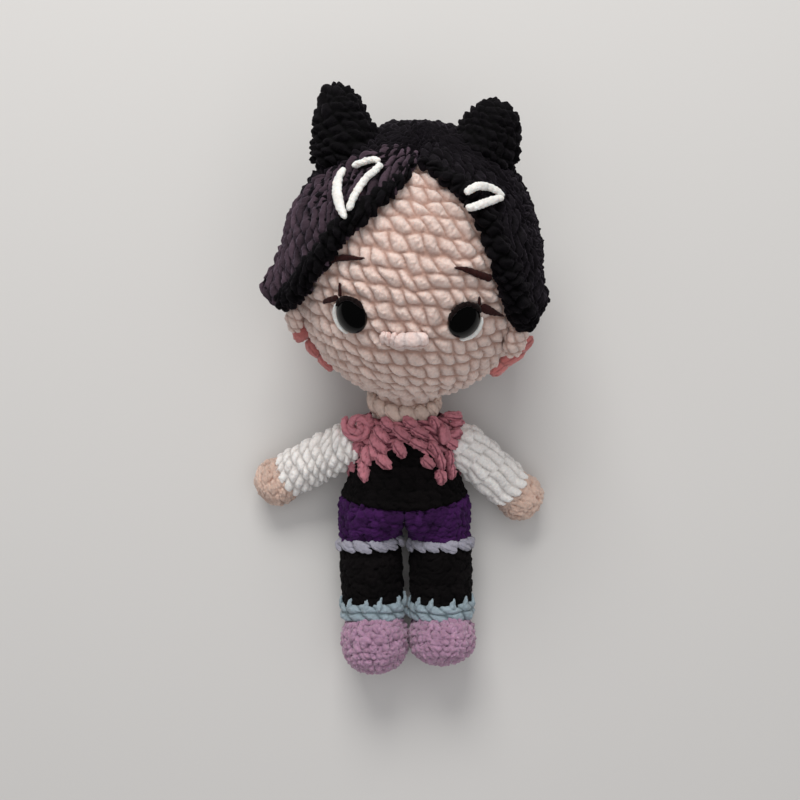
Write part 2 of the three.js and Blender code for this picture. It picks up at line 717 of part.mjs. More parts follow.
function makeTorso() {
  neckGroup.updateWorldMatrix(true, false);
  torsoGroup.updateWorldMatrix(true, false);
  const toTorso = torsoGroup.matrixWorld.clone().invert();
  const neckRoom = [-neckNodBack, 0, neckNodForward].map((nod) => {
    const neckRings = 8;
    const room = loft((u, v) => {
      const point = neckPoint(u, v, 2 * seamGap);
      return v === 0 || v === 1 ? point.set(0, point.y - (1 - v) * skinWall, 0) : point;
    }, neckSides, neckRings);
    room.applyMatrix4(neckGroup.matrixWorld);
    room.translate(-neckBaseX, -neckBaseY, -neckBaseZ);
    room.rotateX(rad(nod));
    room.translate(neckBaseX, neckBaseY, neckBaseZ);
    return room.applyMatrix4(toTorso);
  });
  neckRoom.push(ballAt(neckBallRadius + 2 * seamGap, neckBaseX, neckBaseY, neckBaseZ).applyMatrix4(toTorso));
  const rootPockets = [-1, 1].map((sign) => {
    const pocket = ballAt(armRootRadius + seamGap, sign * shoulderX, shoulderY, shoulderZ);
    return pocket.applyMatrix4(torsoGroup.matrixWorld.clone().invert());
  });
  const closeFit = {
    clearance: 2 * seamGap,
    rootShares: [-1, -0.92, -0.7, -0.38, 0],
    shortsLegShares: [0.35, 0.7, 1],
    sides: legSides,
    bends: 3,
  };
  const legRoom = [-1, 1].flatMap((sign) => legSweep(sign, torsoGroup, closeFit));
  // the filling keeps further off, so that its faceted room clears the round legs
  const looseFit = {
    clearance: 6 * seamGap,
    rootShares: [-1, -0.85, -0.5, 0],
    shortsLegShares: [1],
    sides: 10,
    bends: 2,
  };
  const fillingRoom = [-1, 1].flatMap((sign) => legSweep(sign, torsoGroup, looseFit));
  const floor = floorCutter(torsoGroup);

  const yoke = torsoBand(yokeEdge, yokeTop, 4);
  addPiece(torsoGroup, 'yoke', cutBy(yoke, ...neckRoom, ...rootPockets), yarnMaterial(roseColor));
  const waist = torsoBand((u) => shortsEdge(u) + seamGap, (u) => yokeEdge(u) - seamGap, 3);
  addPiece(torsoGroup, 'waist', cutBy(waist, ...legRoom), yarnMaterial(blackYarnColor));
  const shorts = torsoBand(() => torsoBottomY, shortsEdge, 2);
  addPiece(torsoGroup, 'shorts', cutBy(shorts, ...legRoom, floor), yarnMaterial(purpleColor));

  const core = loft((u, v) => {
    const y = lerp(hipY, torsoTopY, v);
    const point = torsoPoint(u, y, -skinWall - 2 * seamGap);
    return v === 0 || v === 1 ? new THREE.Vector3(0, y, 0) : point;
  }, 16, 8);
  const stuffing = cutBy(core, ...neckRoom, ...rootPockets, ...fillingRoom);
  addPiece(torsoGroup, 'torso_stuffing', stuffing, yarnMaterial(stuffingColor));
  makeCollar();
  makeRosettes();
}

// the pale row at the foot of the neck
function makeCollar() {
  const collarHeight = 4;
  const collarStart = 4;
  const collarWall = 1.6;
  const inside = neckBallRadius + seamGap;
  const at = (radius) => (u, v) => new THREE.Vector3(
    radius * Math.sin(u * fullTurn), collarStart + collarHeight * v, radius * Math.cos(u * fullTurn),
  );
  const ring = shellBetween(at(inside + collarWall), at(inside), 20, 1, { round: true });
  addPiece(neckGroup, 'collar', ring, yarnMaterial(creamColor));
}

// a wound rosette on the right shoulder, a petalled bobble on the left one
function makeRosettes() {
  const turns = 2;
  const stepsPerTurn = 12;
  const rosetteRadius = 5.6;
  const places = { right: { u: -0.128, y: 41.5 }, left: { u: 0.118, y: 39 } };
  const frameAt = ({ u, y }, lift) => {
    const out = torsoPoint(u, y, 1).sub(torsoPoint(u, y, 0)).normalize();
    const up = new THREE.Vector3(0, 1, 0);
    const side = up.clone().cross(out).normalize();
    const turned = new THREE.Matrix4().makeBasis(side, out.clone().cross(side), out);
    return turned.setPosition(torsoPoint(u, y, lift));
  };
  const spiral = [];
  for (let i = 0; i <= turns * stepsPerTurn; i += 1) {
    const angle = (i / stepsPerTurn) * fullTurn;
    const radius = lerp(rosetteRadius, yarnDiameter / 4, i / (turns * stepsPerTurn));
    const rise = lerp(0, yarnDiameter / 2, i / (turns * stepsPerTurn));
    spiral.push(new THREE.Vector3(radius * Math.cos(angle), radius * Math.sin(angle), rise));
  }
  const windingYarn = 0.78 * yarnDiameter;
  const winding = yarnAlong(spiral, windingYarn, turns * stepsPerTurn);
  winding.applyMatrix4(frameAt(places.right, windingYarn / 2 + seamGap / 3));
  addPiece(torsoGroup, 'right_rosette', winding, yarnMaterial(roseColor));

  const bobbleHalfWidth = 5.8;
  const bobbleHalfHeight = 7;
  const bobbleHalfDepth = 2.6;
  const bobble = new THREE.SphereGeometry(1, 12, 7);
  bobble.scale(bobbleHalfWidth, bobbleHalfHeight, bobbleHalfDepth);
  bobble.applyMatrix4(frameAt(places.left, bobbleHalfDepth + 3 * seamGap));
  addPiece(torsoGroup, 'left_bobble', bobble, yarnMaterial(roseColor));
}

// ---- arms
const armDrop = Math.asin((shoulderZ - handRadius + restFlat) / (armLength - handRadius));
const handStart = armLength - handLength;

function armRadiusAt(y) {
  const grown = THREE.MathUtils.smoothstep(y, armRootRadius / 2, 2 * armRootRadius);
  const swell = armRadius * lerp(0.92, 1, grown);
  const tip = armLength - handRadius;
  if (y > tip) return Math.sqrt(Math.max(0, handRadius ** 2 - (y - tip) ** 2));
  const wrist = 0.06 * Math.exp(-(((y - handStart) / (armRadius / 3)) ** 2));
  const palm = (handRadius - armRadius) * THREE.MathUtils.smoothstep(y, handStart, tip);
  return swell * (1 - wrist) + palm;
}

function makeArm(side, sign, spread) {
  const direction = new THREE.Vector3(
    sign * Math.cos(rad(spread)) * Math.cos(armDrop),
    -Math.sin(rad(spread)) * Math.cos(armDrop),
    -Math.sin(armDrop),
  );
  const arm = addGroup(doll, sign * shoulderX, shoulderY, shoulderZ, 0, 0, 0);
  arm.quaternion.setFromUnitVectors(new THREE.Vector3(0, 1, 0), direction);
  arm.updateWorldMatrix(true, false);

  const seam = addGroup(doll, sign * shoulderX, shoulderY, shoulderZ, 0, 0, 0);
  const root = new THREE.SphereGeometry(armRootRadius, 14, 8);
  addPiece(seam, `${side}_arm_root`, root, yarnMaterial(sleeveColor));

  const rootPocket = ballAt(armRootRadius + seamGap, 0, 0, 0, 14);
  const sleeveStart = armRootRadius * 0.5;
  const armSides = 16;
  const toArm = arm.matrixWorld.clone().invert();
  const torsoCutters = armPoses.map((pose) => torsoSeenBy(arm, sign, direction, pose, toArm));
  const sleeve = limbRing(armRadiusAt, sleeveStart, handStart - seamGap / 2, skinWall, 5, armSides);
  const sleeveCut = cutBy(sleeve, rootPocket, ...torsoCutters);
  addPiece(arm, `${side}_sleeve`, sleeveCut, yarnMaterial(sleeveColor));

  const handAt = (lift) => (u, v) => {
    const y = lerp(handStart + seamGap / 2, armLength + lift, v);
    return v === 1 ? new THREE.Vector3(0, y, 0) : limbPoint(armRadiusAt, u, y, lift);
  };
  const hand = shellBetween(handAt(0), handAt(-skinWall), armSides, 5, { round: true, pole: true });
  addPiece(arm, `${side}_hand`, cutBy(hand, floorCutter(arm)), yarnMaterial(skinColor));

  const core = loft((u, v) => {
    const y = lerp(sleeveStart, armLength - skinWall - 2 * seamGap, v);
    const point = limbPoint(armRadiusAt, u, y, -skinWall - seamGap);
    return v === 0 || v === 1 ? point.set(0, y, 0) : point;
  }, 8, 7);
  const coreCut = cutBy(core, rootPocket, ...torsoCutters);
  addPiece(arm, `${side}_arm_stuffing`, coreCut, yarnMaterial(stuffingColor));
}

// raise and swing angles, in degrees, at which the sleeve has to stay clear of the body
const armRaiseRange = [-8, 40];
const armSwingRange = [-15, 55];
const armPoses = armRaiseRange.concat(16, 0).flatMap((raise) => (
  armSwingRange.concat(20, 0).map((swing) => [raise, swing])
));

function torsoSeenBy(arm, sign, direction, [raise, swing], toArm) {
  const body = loft((u, v) => {
    const y = lerp(-restFlat, torsoTopY + seamGap, v);
    return v === 0 || v === 1 ? new THREE.Vector3(0, y, 0) : torsoPoint(u, y, 3 * seamGap);
  }, 24, 8);
  body.applyMatrix4(torsoGroup.matrixWorld);
  const pivot = new THREE.Vector3(sign * shoulderX, shoulderY, shoulderZ);
  const flat = new THREE.Vector3(direction.x, direction.y, 0).normalize();
  const swingAxis = flat.clone().cross(new THREE.Vector3(0, 0, 1));
  const raiseTurn = new THREE.Quaternion().setFromAxisAngle(new THREE.Vector3(0, 0, 1), sign * rad(raise));
  const swingTurn = new THREE.Quaternion().setFromAxisAngle(swingAxis, rad(swing));
  const undo = raiseTurn.multiply(swingTurn).invert();
  body.translate(-pivot.x, -pivot.y, -pivot.z);
  body.applyQuaternion(undo);
  body.translate(pivot.x, pivot.y, pivot.z);
  return body.applyMatrix4(toArm);
}

// ---- legs
const shoeCentreShare = 0.79;
const shoeFullness = 2.5;

// along runs from minus the opening's share at the ankle to 1 at the toe
function shoePoint(u, along, halfLength, lift) {
  const y = legStations.shoe + shoeCentreShare * halfLength + along * (halfLength + lift);
  const ring = Math.sqrt(Math.max(0, 1 - Math.abs(along) ** shoeFullness));
  // the leg's frame has its Z axis down, so the shoe's centre lies up from the leg's line
  const lineZ = hipZ - Math.sin(rad(legTilt)) * y;
  const up = shoeHalfHeight - restFlat - lineZ;
  return new THREE.Vector3(
    (shoeHalfWidth + lift) * ring * Math.sin(u * fullTurn),
    y,
    (shoeHalfHeight + lift) * ring * Math.cos(u * fullTurn) - up,
  );
}

function makeLeg(side, sign, shoeLength) {
  const leg = makeLegGroup(sign);
  const rootAt = (lift) => (u, v) => {
    const y = lerp(shortsLegEnd, -legRootRadius - lift, v);
    return v === 1 ? new THREE.Vector3(0, y, 0) : limbPoint(legRadiusAt, u, y, lift);
  };
  const root = shellBetween(rootAt(0), rootAt(-skinWall), legSides, 6, { round: true, pole: true });
  addPiece(leg, `${side}_shorts_leg`, root, yarnMaterial(purpleColor));
  const straight = () => legRadius;
  const ring = (name, from, length, color) => {
    const geometry = limbRing(straight, from, from + length, skinWall, 1, legSides);
    addPiece(leg, `${side}_${name}`, geometry, yarnMaterial(color));
  };
  ring('garter', legStations.garter, garterLength, garterColor);
  ring('stocking', legStations.stocking, stockingLength, blackYarnColor);
  ring('cuff', legStations.cuff, cuffLength, cuffColor);

  const shoeAt = (lift) => (u, v) => {
    const along = Math.sin(lerp(Math.asin(-shoeCentreShare), Math.PI / 2, v));
    return shoePoint(v === 1 ? 0 : u, along, shoeLength, lift);
  };
  const shoe = shellBetween(shoeAt(0), shoeAt(-skinWall), 18, 6, { round: true, pole: true });
  addPiece(leg, `${side}_shoe`, cutBy(shoe, floorCutter(leg)), yarnMaterial(shoeColor));

  const inside = -skinWall - 2 * seamGap;
  const legRows = 7;
  const shoeRowShares = [-shoeCentreShare, -0.45, 0, 0.5, 0.82, 1];
  const rows = legRows + shoeRowShares.length - 1;
  const core = loft((u, v) => {
    const row = Math.round(v * rows);
    const neck = row === legRows ? inside - skinWall : inside;
    if (row >= legRows) return shoePoint(v === 1 ? 0 : u, shoeRowShares[row - legRows], shoeLength, neck);
    const y = lerp(-legRootRadius - inside, legStations.shoe - cuffLength / 2, row / (legRows - 1));
    const point = limbPoint(legRadiusAt, u, y, inside);
    return v === 0 ? point.set(0, y, 0) : point;
  }, 10, rows);
  addPiece(leg, `${side}_leg_stuffing`, core, yarnMaterial(stuffingColor));
}

makeNeck();
makeHead();
eyes.forEach(makeEye);
eyes.forEach(makeEyeWhite);
eyes.forEach(makeLashes);
makeFaceStitches();
makeEar('right', { lon: -76, lat: -22 });
makeEar('left', { lon: 58, lat: -19 });
makeHair();
makeTuft('right', {
  lon: -90, lat: 53, height: rightTuftHeight, halfWidth: rightTuftHalfWidth, halfDepth: rightTuftHalfDepth,
  lean: [-0.22, 1, 0],
});
makeTuft('left', {
  lon: 90, lat: 60, height: leftTuftHeight, halfWidth: leftTuftHalfWidth, halfDepth: leftTuftHalfDepth,
  lean: [0.1, 1, 0],
});
makeClips();
makeTorso();
makeArm('right', -1, 29);
makeArm('left', 1, 42);
makeLeg('right', -1, shoeHalfLength);
makeLeg('left', 1, leftShoeShare * shoeHalfLength);

export default doll;
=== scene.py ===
import json

import bmesh
import bpy
import numpy as np
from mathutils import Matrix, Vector


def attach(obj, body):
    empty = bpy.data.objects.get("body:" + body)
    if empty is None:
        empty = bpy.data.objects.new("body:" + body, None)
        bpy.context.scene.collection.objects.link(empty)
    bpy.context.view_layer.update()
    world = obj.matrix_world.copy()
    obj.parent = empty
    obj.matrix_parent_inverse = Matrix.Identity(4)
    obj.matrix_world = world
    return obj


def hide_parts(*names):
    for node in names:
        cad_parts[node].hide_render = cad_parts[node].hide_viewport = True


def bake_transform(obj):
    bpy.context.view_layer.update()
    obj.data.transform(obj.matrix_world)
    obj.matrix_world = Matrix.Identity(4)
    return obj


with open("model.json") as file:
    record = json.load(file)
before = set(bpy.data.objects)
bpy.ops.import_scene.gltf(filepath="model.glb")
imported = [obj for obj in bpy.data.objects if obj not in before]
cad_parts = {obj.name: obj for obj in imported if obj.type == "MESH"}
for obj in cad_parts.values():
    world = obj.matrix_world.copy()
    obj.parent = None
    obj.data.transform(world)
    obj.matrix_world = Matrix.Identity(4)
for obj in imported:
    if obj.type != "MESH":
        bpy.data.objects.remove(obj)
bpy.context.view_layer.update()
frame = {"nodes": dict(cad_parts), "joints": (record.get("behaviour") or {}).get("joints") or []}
joints = {joint["name"]: joint for joint in frame["joints"]}
metresPerMm = 0.001
fullTurn = 2 * np.pi
coarse = 1


# ---- places
def unit(vector):
    vector = np.asarray(vector, float)
    length = np.linalg.norm(vector, axis=-1, keepdims=True)
    return vector / np.maximum(length, 1e-9)


def pivotOf(joint):
    return np.array(joints[joint]["pos_m"]) / metresPerMm


# a frame whose Y runs along the limb or the body
def makeFrame(origin, along, across):
    along = unit(along)
    across = unit(np.asarray(across, float) - np.dot(across, along) * along)
    return {"origin": np.asarray(origin, float), "basis": np.stack([across, along, np.cross(across, along)], 1)}


def put(place, points):
    return np.asarray(points) @ place["basis"].T + place["origin"]


def lerp(a, b, t):
    return a + (b - a) * t


def smooth(t, low=0.0, high=1.0):
    t = np.clip((t - low) / (high - low), 0, 1)
    return t * t * (3 - 2 * t)


# how a roll or a hem rounds off: 0 at v = 0 and 1 from v = share on
def roundEnd(v, share):
    return np.sqrt(np.clip(1 - np.clip(1 - v / share, 0, 1) ** 2, 0, 1))


# places on a ring round a frame's Y, where u = 0 faces its Z
def onRing(place, radius, u, y):
    ring = np.broadcast_arrays(radius * np.sin(u * fullTurn), y, radius * np.cos(u * fullTurn))
    return put(place, np.stack(ring, -1))


# which way a stitch on such a ring faces, and which way it runs: so much sideways and so much along Y
def ringStitch(place, u, sideways, alongY):
    sine, cosine = np.sin(u * fullTurn), np.cos(u * fullTurn)
    return {"outward": place["basis"] @ (sine, 0, cosine),
            "along": place["basis"] @ (sideways * cosine, alongY, -sideways * sine)}


# a draw from 0 to 1 that is always the same for the same keys
def lottery(*keys):
    mixed = sum(np.asarray(key, float) * factor for key, factor in zip(keys, (12.9898, 78.233, 37.719)))
    return np.modf(np.abs(np.sin(mixed) * 43758.5453))[0]


# soft noise from waves in random directions, about -1 to 1
def nap(points, size, seed=0):
    waveCount, loudness = 14, 3.8
    dice = np.random.default_rng(seed)
    directions = unit(dice.normal(size=(waveCount, 3)))
    waves = directions * (fullTurn / (size * dice.uniform(0.7, 1.7, (waveCount, 1))))
    phases = dice.uniform(0, fullTurn, waveCount)
    total = np.zeros(np.shape(points)[:-1])
    for wave, phase in zip(waves, phases):
        total += np.sin(np.asarray(points) @ wave + phase)
    return total / loudness


# a smooth path through a few points, in even steps
def pathThrough(points, samples):
    points = np.asarray(points, float)
    ends = np.vstack([2 * points[0] - points[1], points, 2 * points[-1] - points[-2]])
    spans = len(ends) - 3
    t = np.linspace(0, spans, samples)
    i = np.minimum(t.astype(int), spans - 1)
    f = (t - i)[:, None]
    a, b, c, d = ends[i], ends[i + 1], ends[i + 2], ends[i + 3]
    path = 0.5 * (2 * b + (c - a) * f + (2 * a - 5 * b + 4 * c - d) * f**2 + (3 * b - a - 3 * c + d) * f**3)
    run = np.concatenate([[0], np.cumsum(np.linalg.norm(np.diff(path, axis=0), axis=1))])
    even = np.linspace(0, run[-1], samples)
    return np.stack([np.interp(even, run, path[:, k]) for k in range(path.shape[1])], 1)


def lengthOf(path):
    return np.linalg.norm(np.diff(path, axis=0), axis=1).sum()


# what an evenly spaced table says at v
def pick(table, v):
    at = np.linspace(0, 1, len(table))
    table = np.asarray(table, float)
    if table.ndim == 1:
        return np.interp(v, at, table)
    return np.stack([np.interp(v, at, table[:, k]) for k in range(table.shape[1])], -1)


# ---- crochet: rows along v and stitches round u
def stitchPlan(surface, width, height):
    fewest = 3
    t = np.linspace(0, 1, 161)
    lines = np.stack([surface(np.full_like(t, u), t) for u in (0.02, 0.25, 0.5, 0.75)])
    run = np.linalg.norm(np.diff(lines, axis=1), axis=2).max(0)
    run = np.concatenate([[0], np.cumsum(run)])
    rows = max(1, int(round(run[-1] / height)))
    at = run / run[-1] * rows
    around = []
    for row in range(rows):
        v = np.interp(row + 0.5, at, t)
        around.append(max(fewest, int(round(lengthOf(surface(t, np.full_like(t, v))) / width))))
    return {"t": t, "at": at, "rows": rows, "counts": np.array(around)}


# how high a place lies on its stitch, and the stitch's own tone. slant and lean tilt the stitches, offset shifts
# each row on the last, wander and ripple bend the rows, and join is how deep the seam between two rows is
def crochet(plan, u, v, points, slant=0.6, seed=1, shape=(2.2, 2.1), offset=0.45, wander=0.1, ripple=0.06,
            lean=0.15, roundness=0.75, join=1.0):
    bendSize, rippleSize, driftSize, rowShift, unevenWidth, unevenHeight = 17, 5.5, 15, 0.6, 0.16, 0.28
    wobble = wander * nap(points, bendSize, seed) + ripple * nap(points, rippleSize, seed + 4)
    r = np.interp(v, plan["t"], plan["at"]) + wobble
    row = np.clip(np.floor(r), 0, plan["rows"] - 1).astype(int)
    y = np.clip(r - row - 0.5, -0.5, 0.5)
    count = plan["counts"][row]
    drift = rowShift * lottery(row, seed) + wander * nap(points, driftSize, seed + 9)
    s = u * count + offset * row + slant * y + drift
    cell = np.floor(s)
    x = s - cell - 0.5
    cell = np.mod(cell, count)
    x = x + unevenWidth * (lottery(row, cell, seed) - 0.5) * (1 - 4 * x * x)
    pillow = (1 - np.abs(2 * x) ** shape[0]) * (1 - join * np.abs(2 * y) ** shape[1])
    relief = np.clip(pillow, 0, 1) ** roundness
    height = 1 + unevenHeight * (lottery(cell, row, seed + 3) - 0.5)
    return relief * height * (1 + lean * 2 * y), lottery(row, cell, seed + 7)


# ---- meshes
# a finished piece rides on its body, takes its yarn and replaces the nodes that it stands for
def finishMesh(name, body, material, mesh, nodes=(), fill=None):
    mesh.materials.append(material)
    mesh.polygons.foreach_set("use_smooth", np.ones(len(mesh.polygons), bool))
    piece = bpy.data.objects.new(name, mesh)
    bpy.context.scene.collection.objects.link(piece)
    if body:
        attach(piece, body)
    if nodes:
        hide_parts(*nodes)
    return piece


def storeValue(mesh, name, values):
    mesh.attributes.new(name, "FLOAT", "POINT").data.foreach_set("value", np.asarray(values, np.float32))


# a grid whose points go onto a surface and rise along its normal by what the fabric says
def clothPiece(name, body, material, surface, grid, fabric, poles=(False, False), **stands):
    step, poleShare, weld = 2e-3, 0.02, 3e-5
    columns, rows = (count // coarse for count in grid)
    sheet = bmesh.new()
    bmesh.ops.create_grid(sheet, x_segments=columns, y_segments=rows, size=0.5)
    mesh = bpy.data.meshes.new(name)
    sheet.to_mesh(mesh)
    flat = np.zeros(len(mesh.vertices) * 3, np.float32)
    mesh.vertices.foreach_get("co", flat)
    flat = flat.reshape(-1, 3).astype(float)
    u, v = np.clip(flat[:, 0] + 0.5, 0, 1), np.clip(flat[:, 1] + 0.5, 0, 1)
    base = surface(u, v)
    inside = np.clip(v, step * 1.5 if poles[0] else step, 1 - (step * 1.5 if poles[1] else step))
    du = surface(u + step, inside) - surface(u - step, inside)
    dv = surface(u, np.clip(inside + step, 0, 1)) - surface(u, np.clip(inside - step, 0, 1))
    normal = unit(np.cross(du, dv))
    if np.sum(normal * (base - base.mean(0))) < 0:
        normal = -normal
    fade = np.ones_like(v)
    for pole, fromPole in zip(poles, (v, 1 - v)):
        if pole:
            near = smooth(fromPole, 0, poleShare)
            fade *= near
            normal = lerp(unit(normal[fromPole < poleShare / 2].mean(0)), normal, near[:, None])
    rise, relief, tone = fabric(u, v, base)
    points = base + normal * (rise * fade)[:, None]
    mesh.vertices.foreach_set("co", (points * metresPerMm).astype(np.float32).ravel())
    storeValue(mesh, "relief", relief)
    storeValue(mesh, "tone", tone)
    sheet.clear()
    sheet.from_mesh(mesh)
    bmesh.ops.remove_doubles(sheet, verts=sheet.verts, dist=weld)
    bmesh.ops.recalc_face_normals(sheet, faces=sheet.faces)
    sheet.to_mesh(mesh)
    sheet.free()
    return finishMesh(name, body, material, mesh, **stands)


# rows of stitches, so deep, with the pile's fuzz on top
def crochetFabric(plan, depth, fuzz=0.16, sink=0.55, fuzzSize=1.7, **options):
    seed = options.get("seed", 1)
    fuzzInCrevice, fineShare, fineSize, swell, swellSize = 0.3, 0.35, 0.55 * fuzzSize, 0.3, 9

    def fabric(u, v, points):
        relief, tone = crochet(plan, u, v, points, **options)
        pile = nap(points, fuzzSize, seed) * (fuzzInCrevice + relief)
        pile = fuzz * (pile + fineShare * nap(points, fineSize, seed + 6))
        return depth * (relief - sink) + pile + swell * nap(points, swellSize, seed + 2), relief, tone

    return fabric


# chenille crumpled out of its rows: puffs of any shape, with only a trace of the stitches
def crumpleFabric(plan, depth, puff, seed, stitches=0.35, **options):
    sink, fuzz, fuzzSize, contrast, largeShare = 0.6, 0.12, 1.5, 1.5, 0.65

    def puffs(points, size, roundness, seed):
        return np.clip(contrast * np.abs(nap(points, size, seed)), 0, 1) ** roundness

    def fabric(u, v, points):
        relief, tone = crochet(plan, u, v, points, seed=seed, **options)
        large, small = puffs(points, 2 * puff, 0.6, seed + 5), puffs(points, 1.2 * puff, 0.7, seed + 8)
        relief = lerp(lerp(small, large, largeShare), relief, stitches)
        return depth * (relief - sink) + fuzz * nap(points, fuzzSize, seed), relief, tone

    return fabric


# a piece in either fabric: grid is its points round and along, and stitch the width and height of one stitch
def yarnwork(name, body, yarn, surface, grid, stitch, poles=(False, False), nodes=(), fill=None, **options):
    fabric = crumpleFabric if "puff" in options else crochetFabric
    fabric = fabric(stitchPlan(surface, *stitch), **options)
    return clothPiece(name, body, yarn, surface, grid, fabric, poles, nodes=nodes, fill=fill)


# a yarn along a path on a surface, with an oval section and round ends: across and up are half sizes on the way
def yarnSurface(path, outward, across, up, endLength=1.0):
    tangent = unit(np.gradient(path, axis=0))
    side = unit(np.cross(tangent, outward))
    lift = np.cross(side, tangent)
    across, up = (pick(np.atleast_1d(half), np.linspace(0, 1, len(path))) for half in (across, up))
    reach, stubbyFrom = max(across.max(), up.max()) * endLength / lengthOf(path), 0.15

    def surface(u, v):
        # on a stubby piece the points crowd towards the ends
        v = 0.5 - 0.5 * np.cos(np.pi * v) if reach > stubbyFrom else v
        cap = roundEnd(v, reach) * roundEnd(1 - v, reach)
        a, b = pick(across, v) * cap, pick(up, v) * cap
        sideways = pick(side, v) * (a * np.sin(u * fullTurn))[..., None]
        return pick(path, v) + sideways + pick(lift, v) * (b * np.cos(u * fullTurn))[..., None]

    return surface


# wound yarn: lumps that turn round the strand, one turn in each pitch
def windingFabric(run, pitch, depth, fuzz):
    strands, fullness, sink, lowest, fuzzSize, toneSize, seed = 2, 2.4, 0.6, 0.35, 1.3, 6, 5

    def fabric(u, v, points):
        s = np.modf(u * strands + v * run / pitch + 10)[0] - 0.5
        ply = np.sqrt(np.clip(1 - np.abs(2 * s) ** fullness, 0, 1))
        rise = depth * (ply - sink) + fuzz * nap(points, fuzzSize, seed)
        # the relief sets painted shade in the grooves between the lumps, no darker than lowest
        return rise, np.clip(lerp(lowest, 1, ply), 0, 1), 0.5 + 0.4 * nap(points, toneSize, seed)

    return fabric


def yarnPiece(name, body, material, path, outward, across, up, pitch, depth, fuzz, columns=20, spacing=0.5,
              nodes=()):
    run, endRows = lengthOf(path), 12
    grid = (columns, int(run / spacing) + endRows)
    surface = yarnSurface(path, outward, across, up)
    fabric = windingFabric(run, pitch, depth, fuzz)
    return clothPiece(name, body, material, surface, grid, fabric, (True, True), nodes=nodes)


# plump single stitches: each has a place, a direction, an outward side and its length, width and thickness
def stitchCluster(name, body, material, places, fuzz=0.26, seed=3, nodes=()):
    sides, rings, fullness, fuzzSize = 22, 16, 2.8, 1.6
    cluster = bmesh.new()
    paintedShades, tones = [], []
    for i, place in enumerate(places):
        outward = unit(place["outward"])
        across = unit(np.cross(place["along"], outward))
        basis = np.stack([across, outward, np.cross(outward, across)], 0)
        ball = bmesh.ops.create_uvsphere(cluster, u_segments=sides, v_segments=rings, radius=1)["verts"]
        unitPoints = np.array([vert.co for vert in ball])
        shaft = unitPoints[:, 2]
        narrow = 1 - place.get("taper", 0.25) * shaft
        narrow = narrow * np.sqrt((1.001 - np.abs(shaft) ** fullness) / (1.001 - shaft**2))
        local = unitPoints * np.array([place["width"] / 2, place["thick"] / 2, place["length"] / 2])
        local[:, :2] *= narrow[:, None]
        # painted shade: each stitch's outward side is pale, its underside and its ends dark
        above, belly = local[:, 1] / place["thick"], np.sqrt(np.clip(1 - shaft**2, 0, 1))
        paintedShades.append(np.clip(0.35 + 1.1 * above + 0.35 * belly, 0, 1))
        tones.append(np.full(len(ball), lottery(i, seed)))
        local[:, 1] -= place.get("bow", 0.0) * shaft**2
        points = local @ basis + np.asarray(place["at"])
        points += unit(unitPoints @ basis) * (fuzz * nap(points, fuzzSize, seed))[:, None]
        for vert, point in zip(ball, points):
            vert.co = Vector(point) * metresPerMm
    mesh = bpy.data.meshes.new(name)
    bmesh.ops.recalc_face_normals(cluster, faces=cluster.faces)
    cluster.to_mesh(mesh)
    cluster.free()
    storeValue(mesh, "relief", np.concatenate(paintedShades))
    storeValue(mesh, "tone", np.concatenate(tones))
    return finishMesh(name, body, material, mesh, nodes)


def linear(hexColour):
    channels = np.array([int(hexColour[i:i + 2], 16) for i in (1, 3, 5)]) / 255
    low = channels / 12.92
    high = ((channels + 0.055) / 1.055) ** 2.4
    return (*np.where(channels <= 0.04045, low, high), 1.0)


# one node, with its sockets' values, the nodes and outputs that they are linked to, and its settings
def addNode(tree, kind, values=None, links=None, **settings):
    made = tree.nodes.new("ShaderNode" + kind)
    for key, value in settings.items():
        setattr(made, key, value)
    for socket, value in (values or {}).items():
        made.inputs[socket].default_value = value
    for socket, (source, output) in (links or {}).items():
        tree.links.new(source.outputs[output], made.inputs[socket])
    return made


def newMaterial(name):
    material = bpy.data.materials.new(name)
    material.use_nodes = True
    material.node_tree.nodes.clear()
    return material, material.node_tree


# how often a pattern repeats in a metre, from its real size
def scaleOf(size):
    return 1 / (size * metresPerMm)
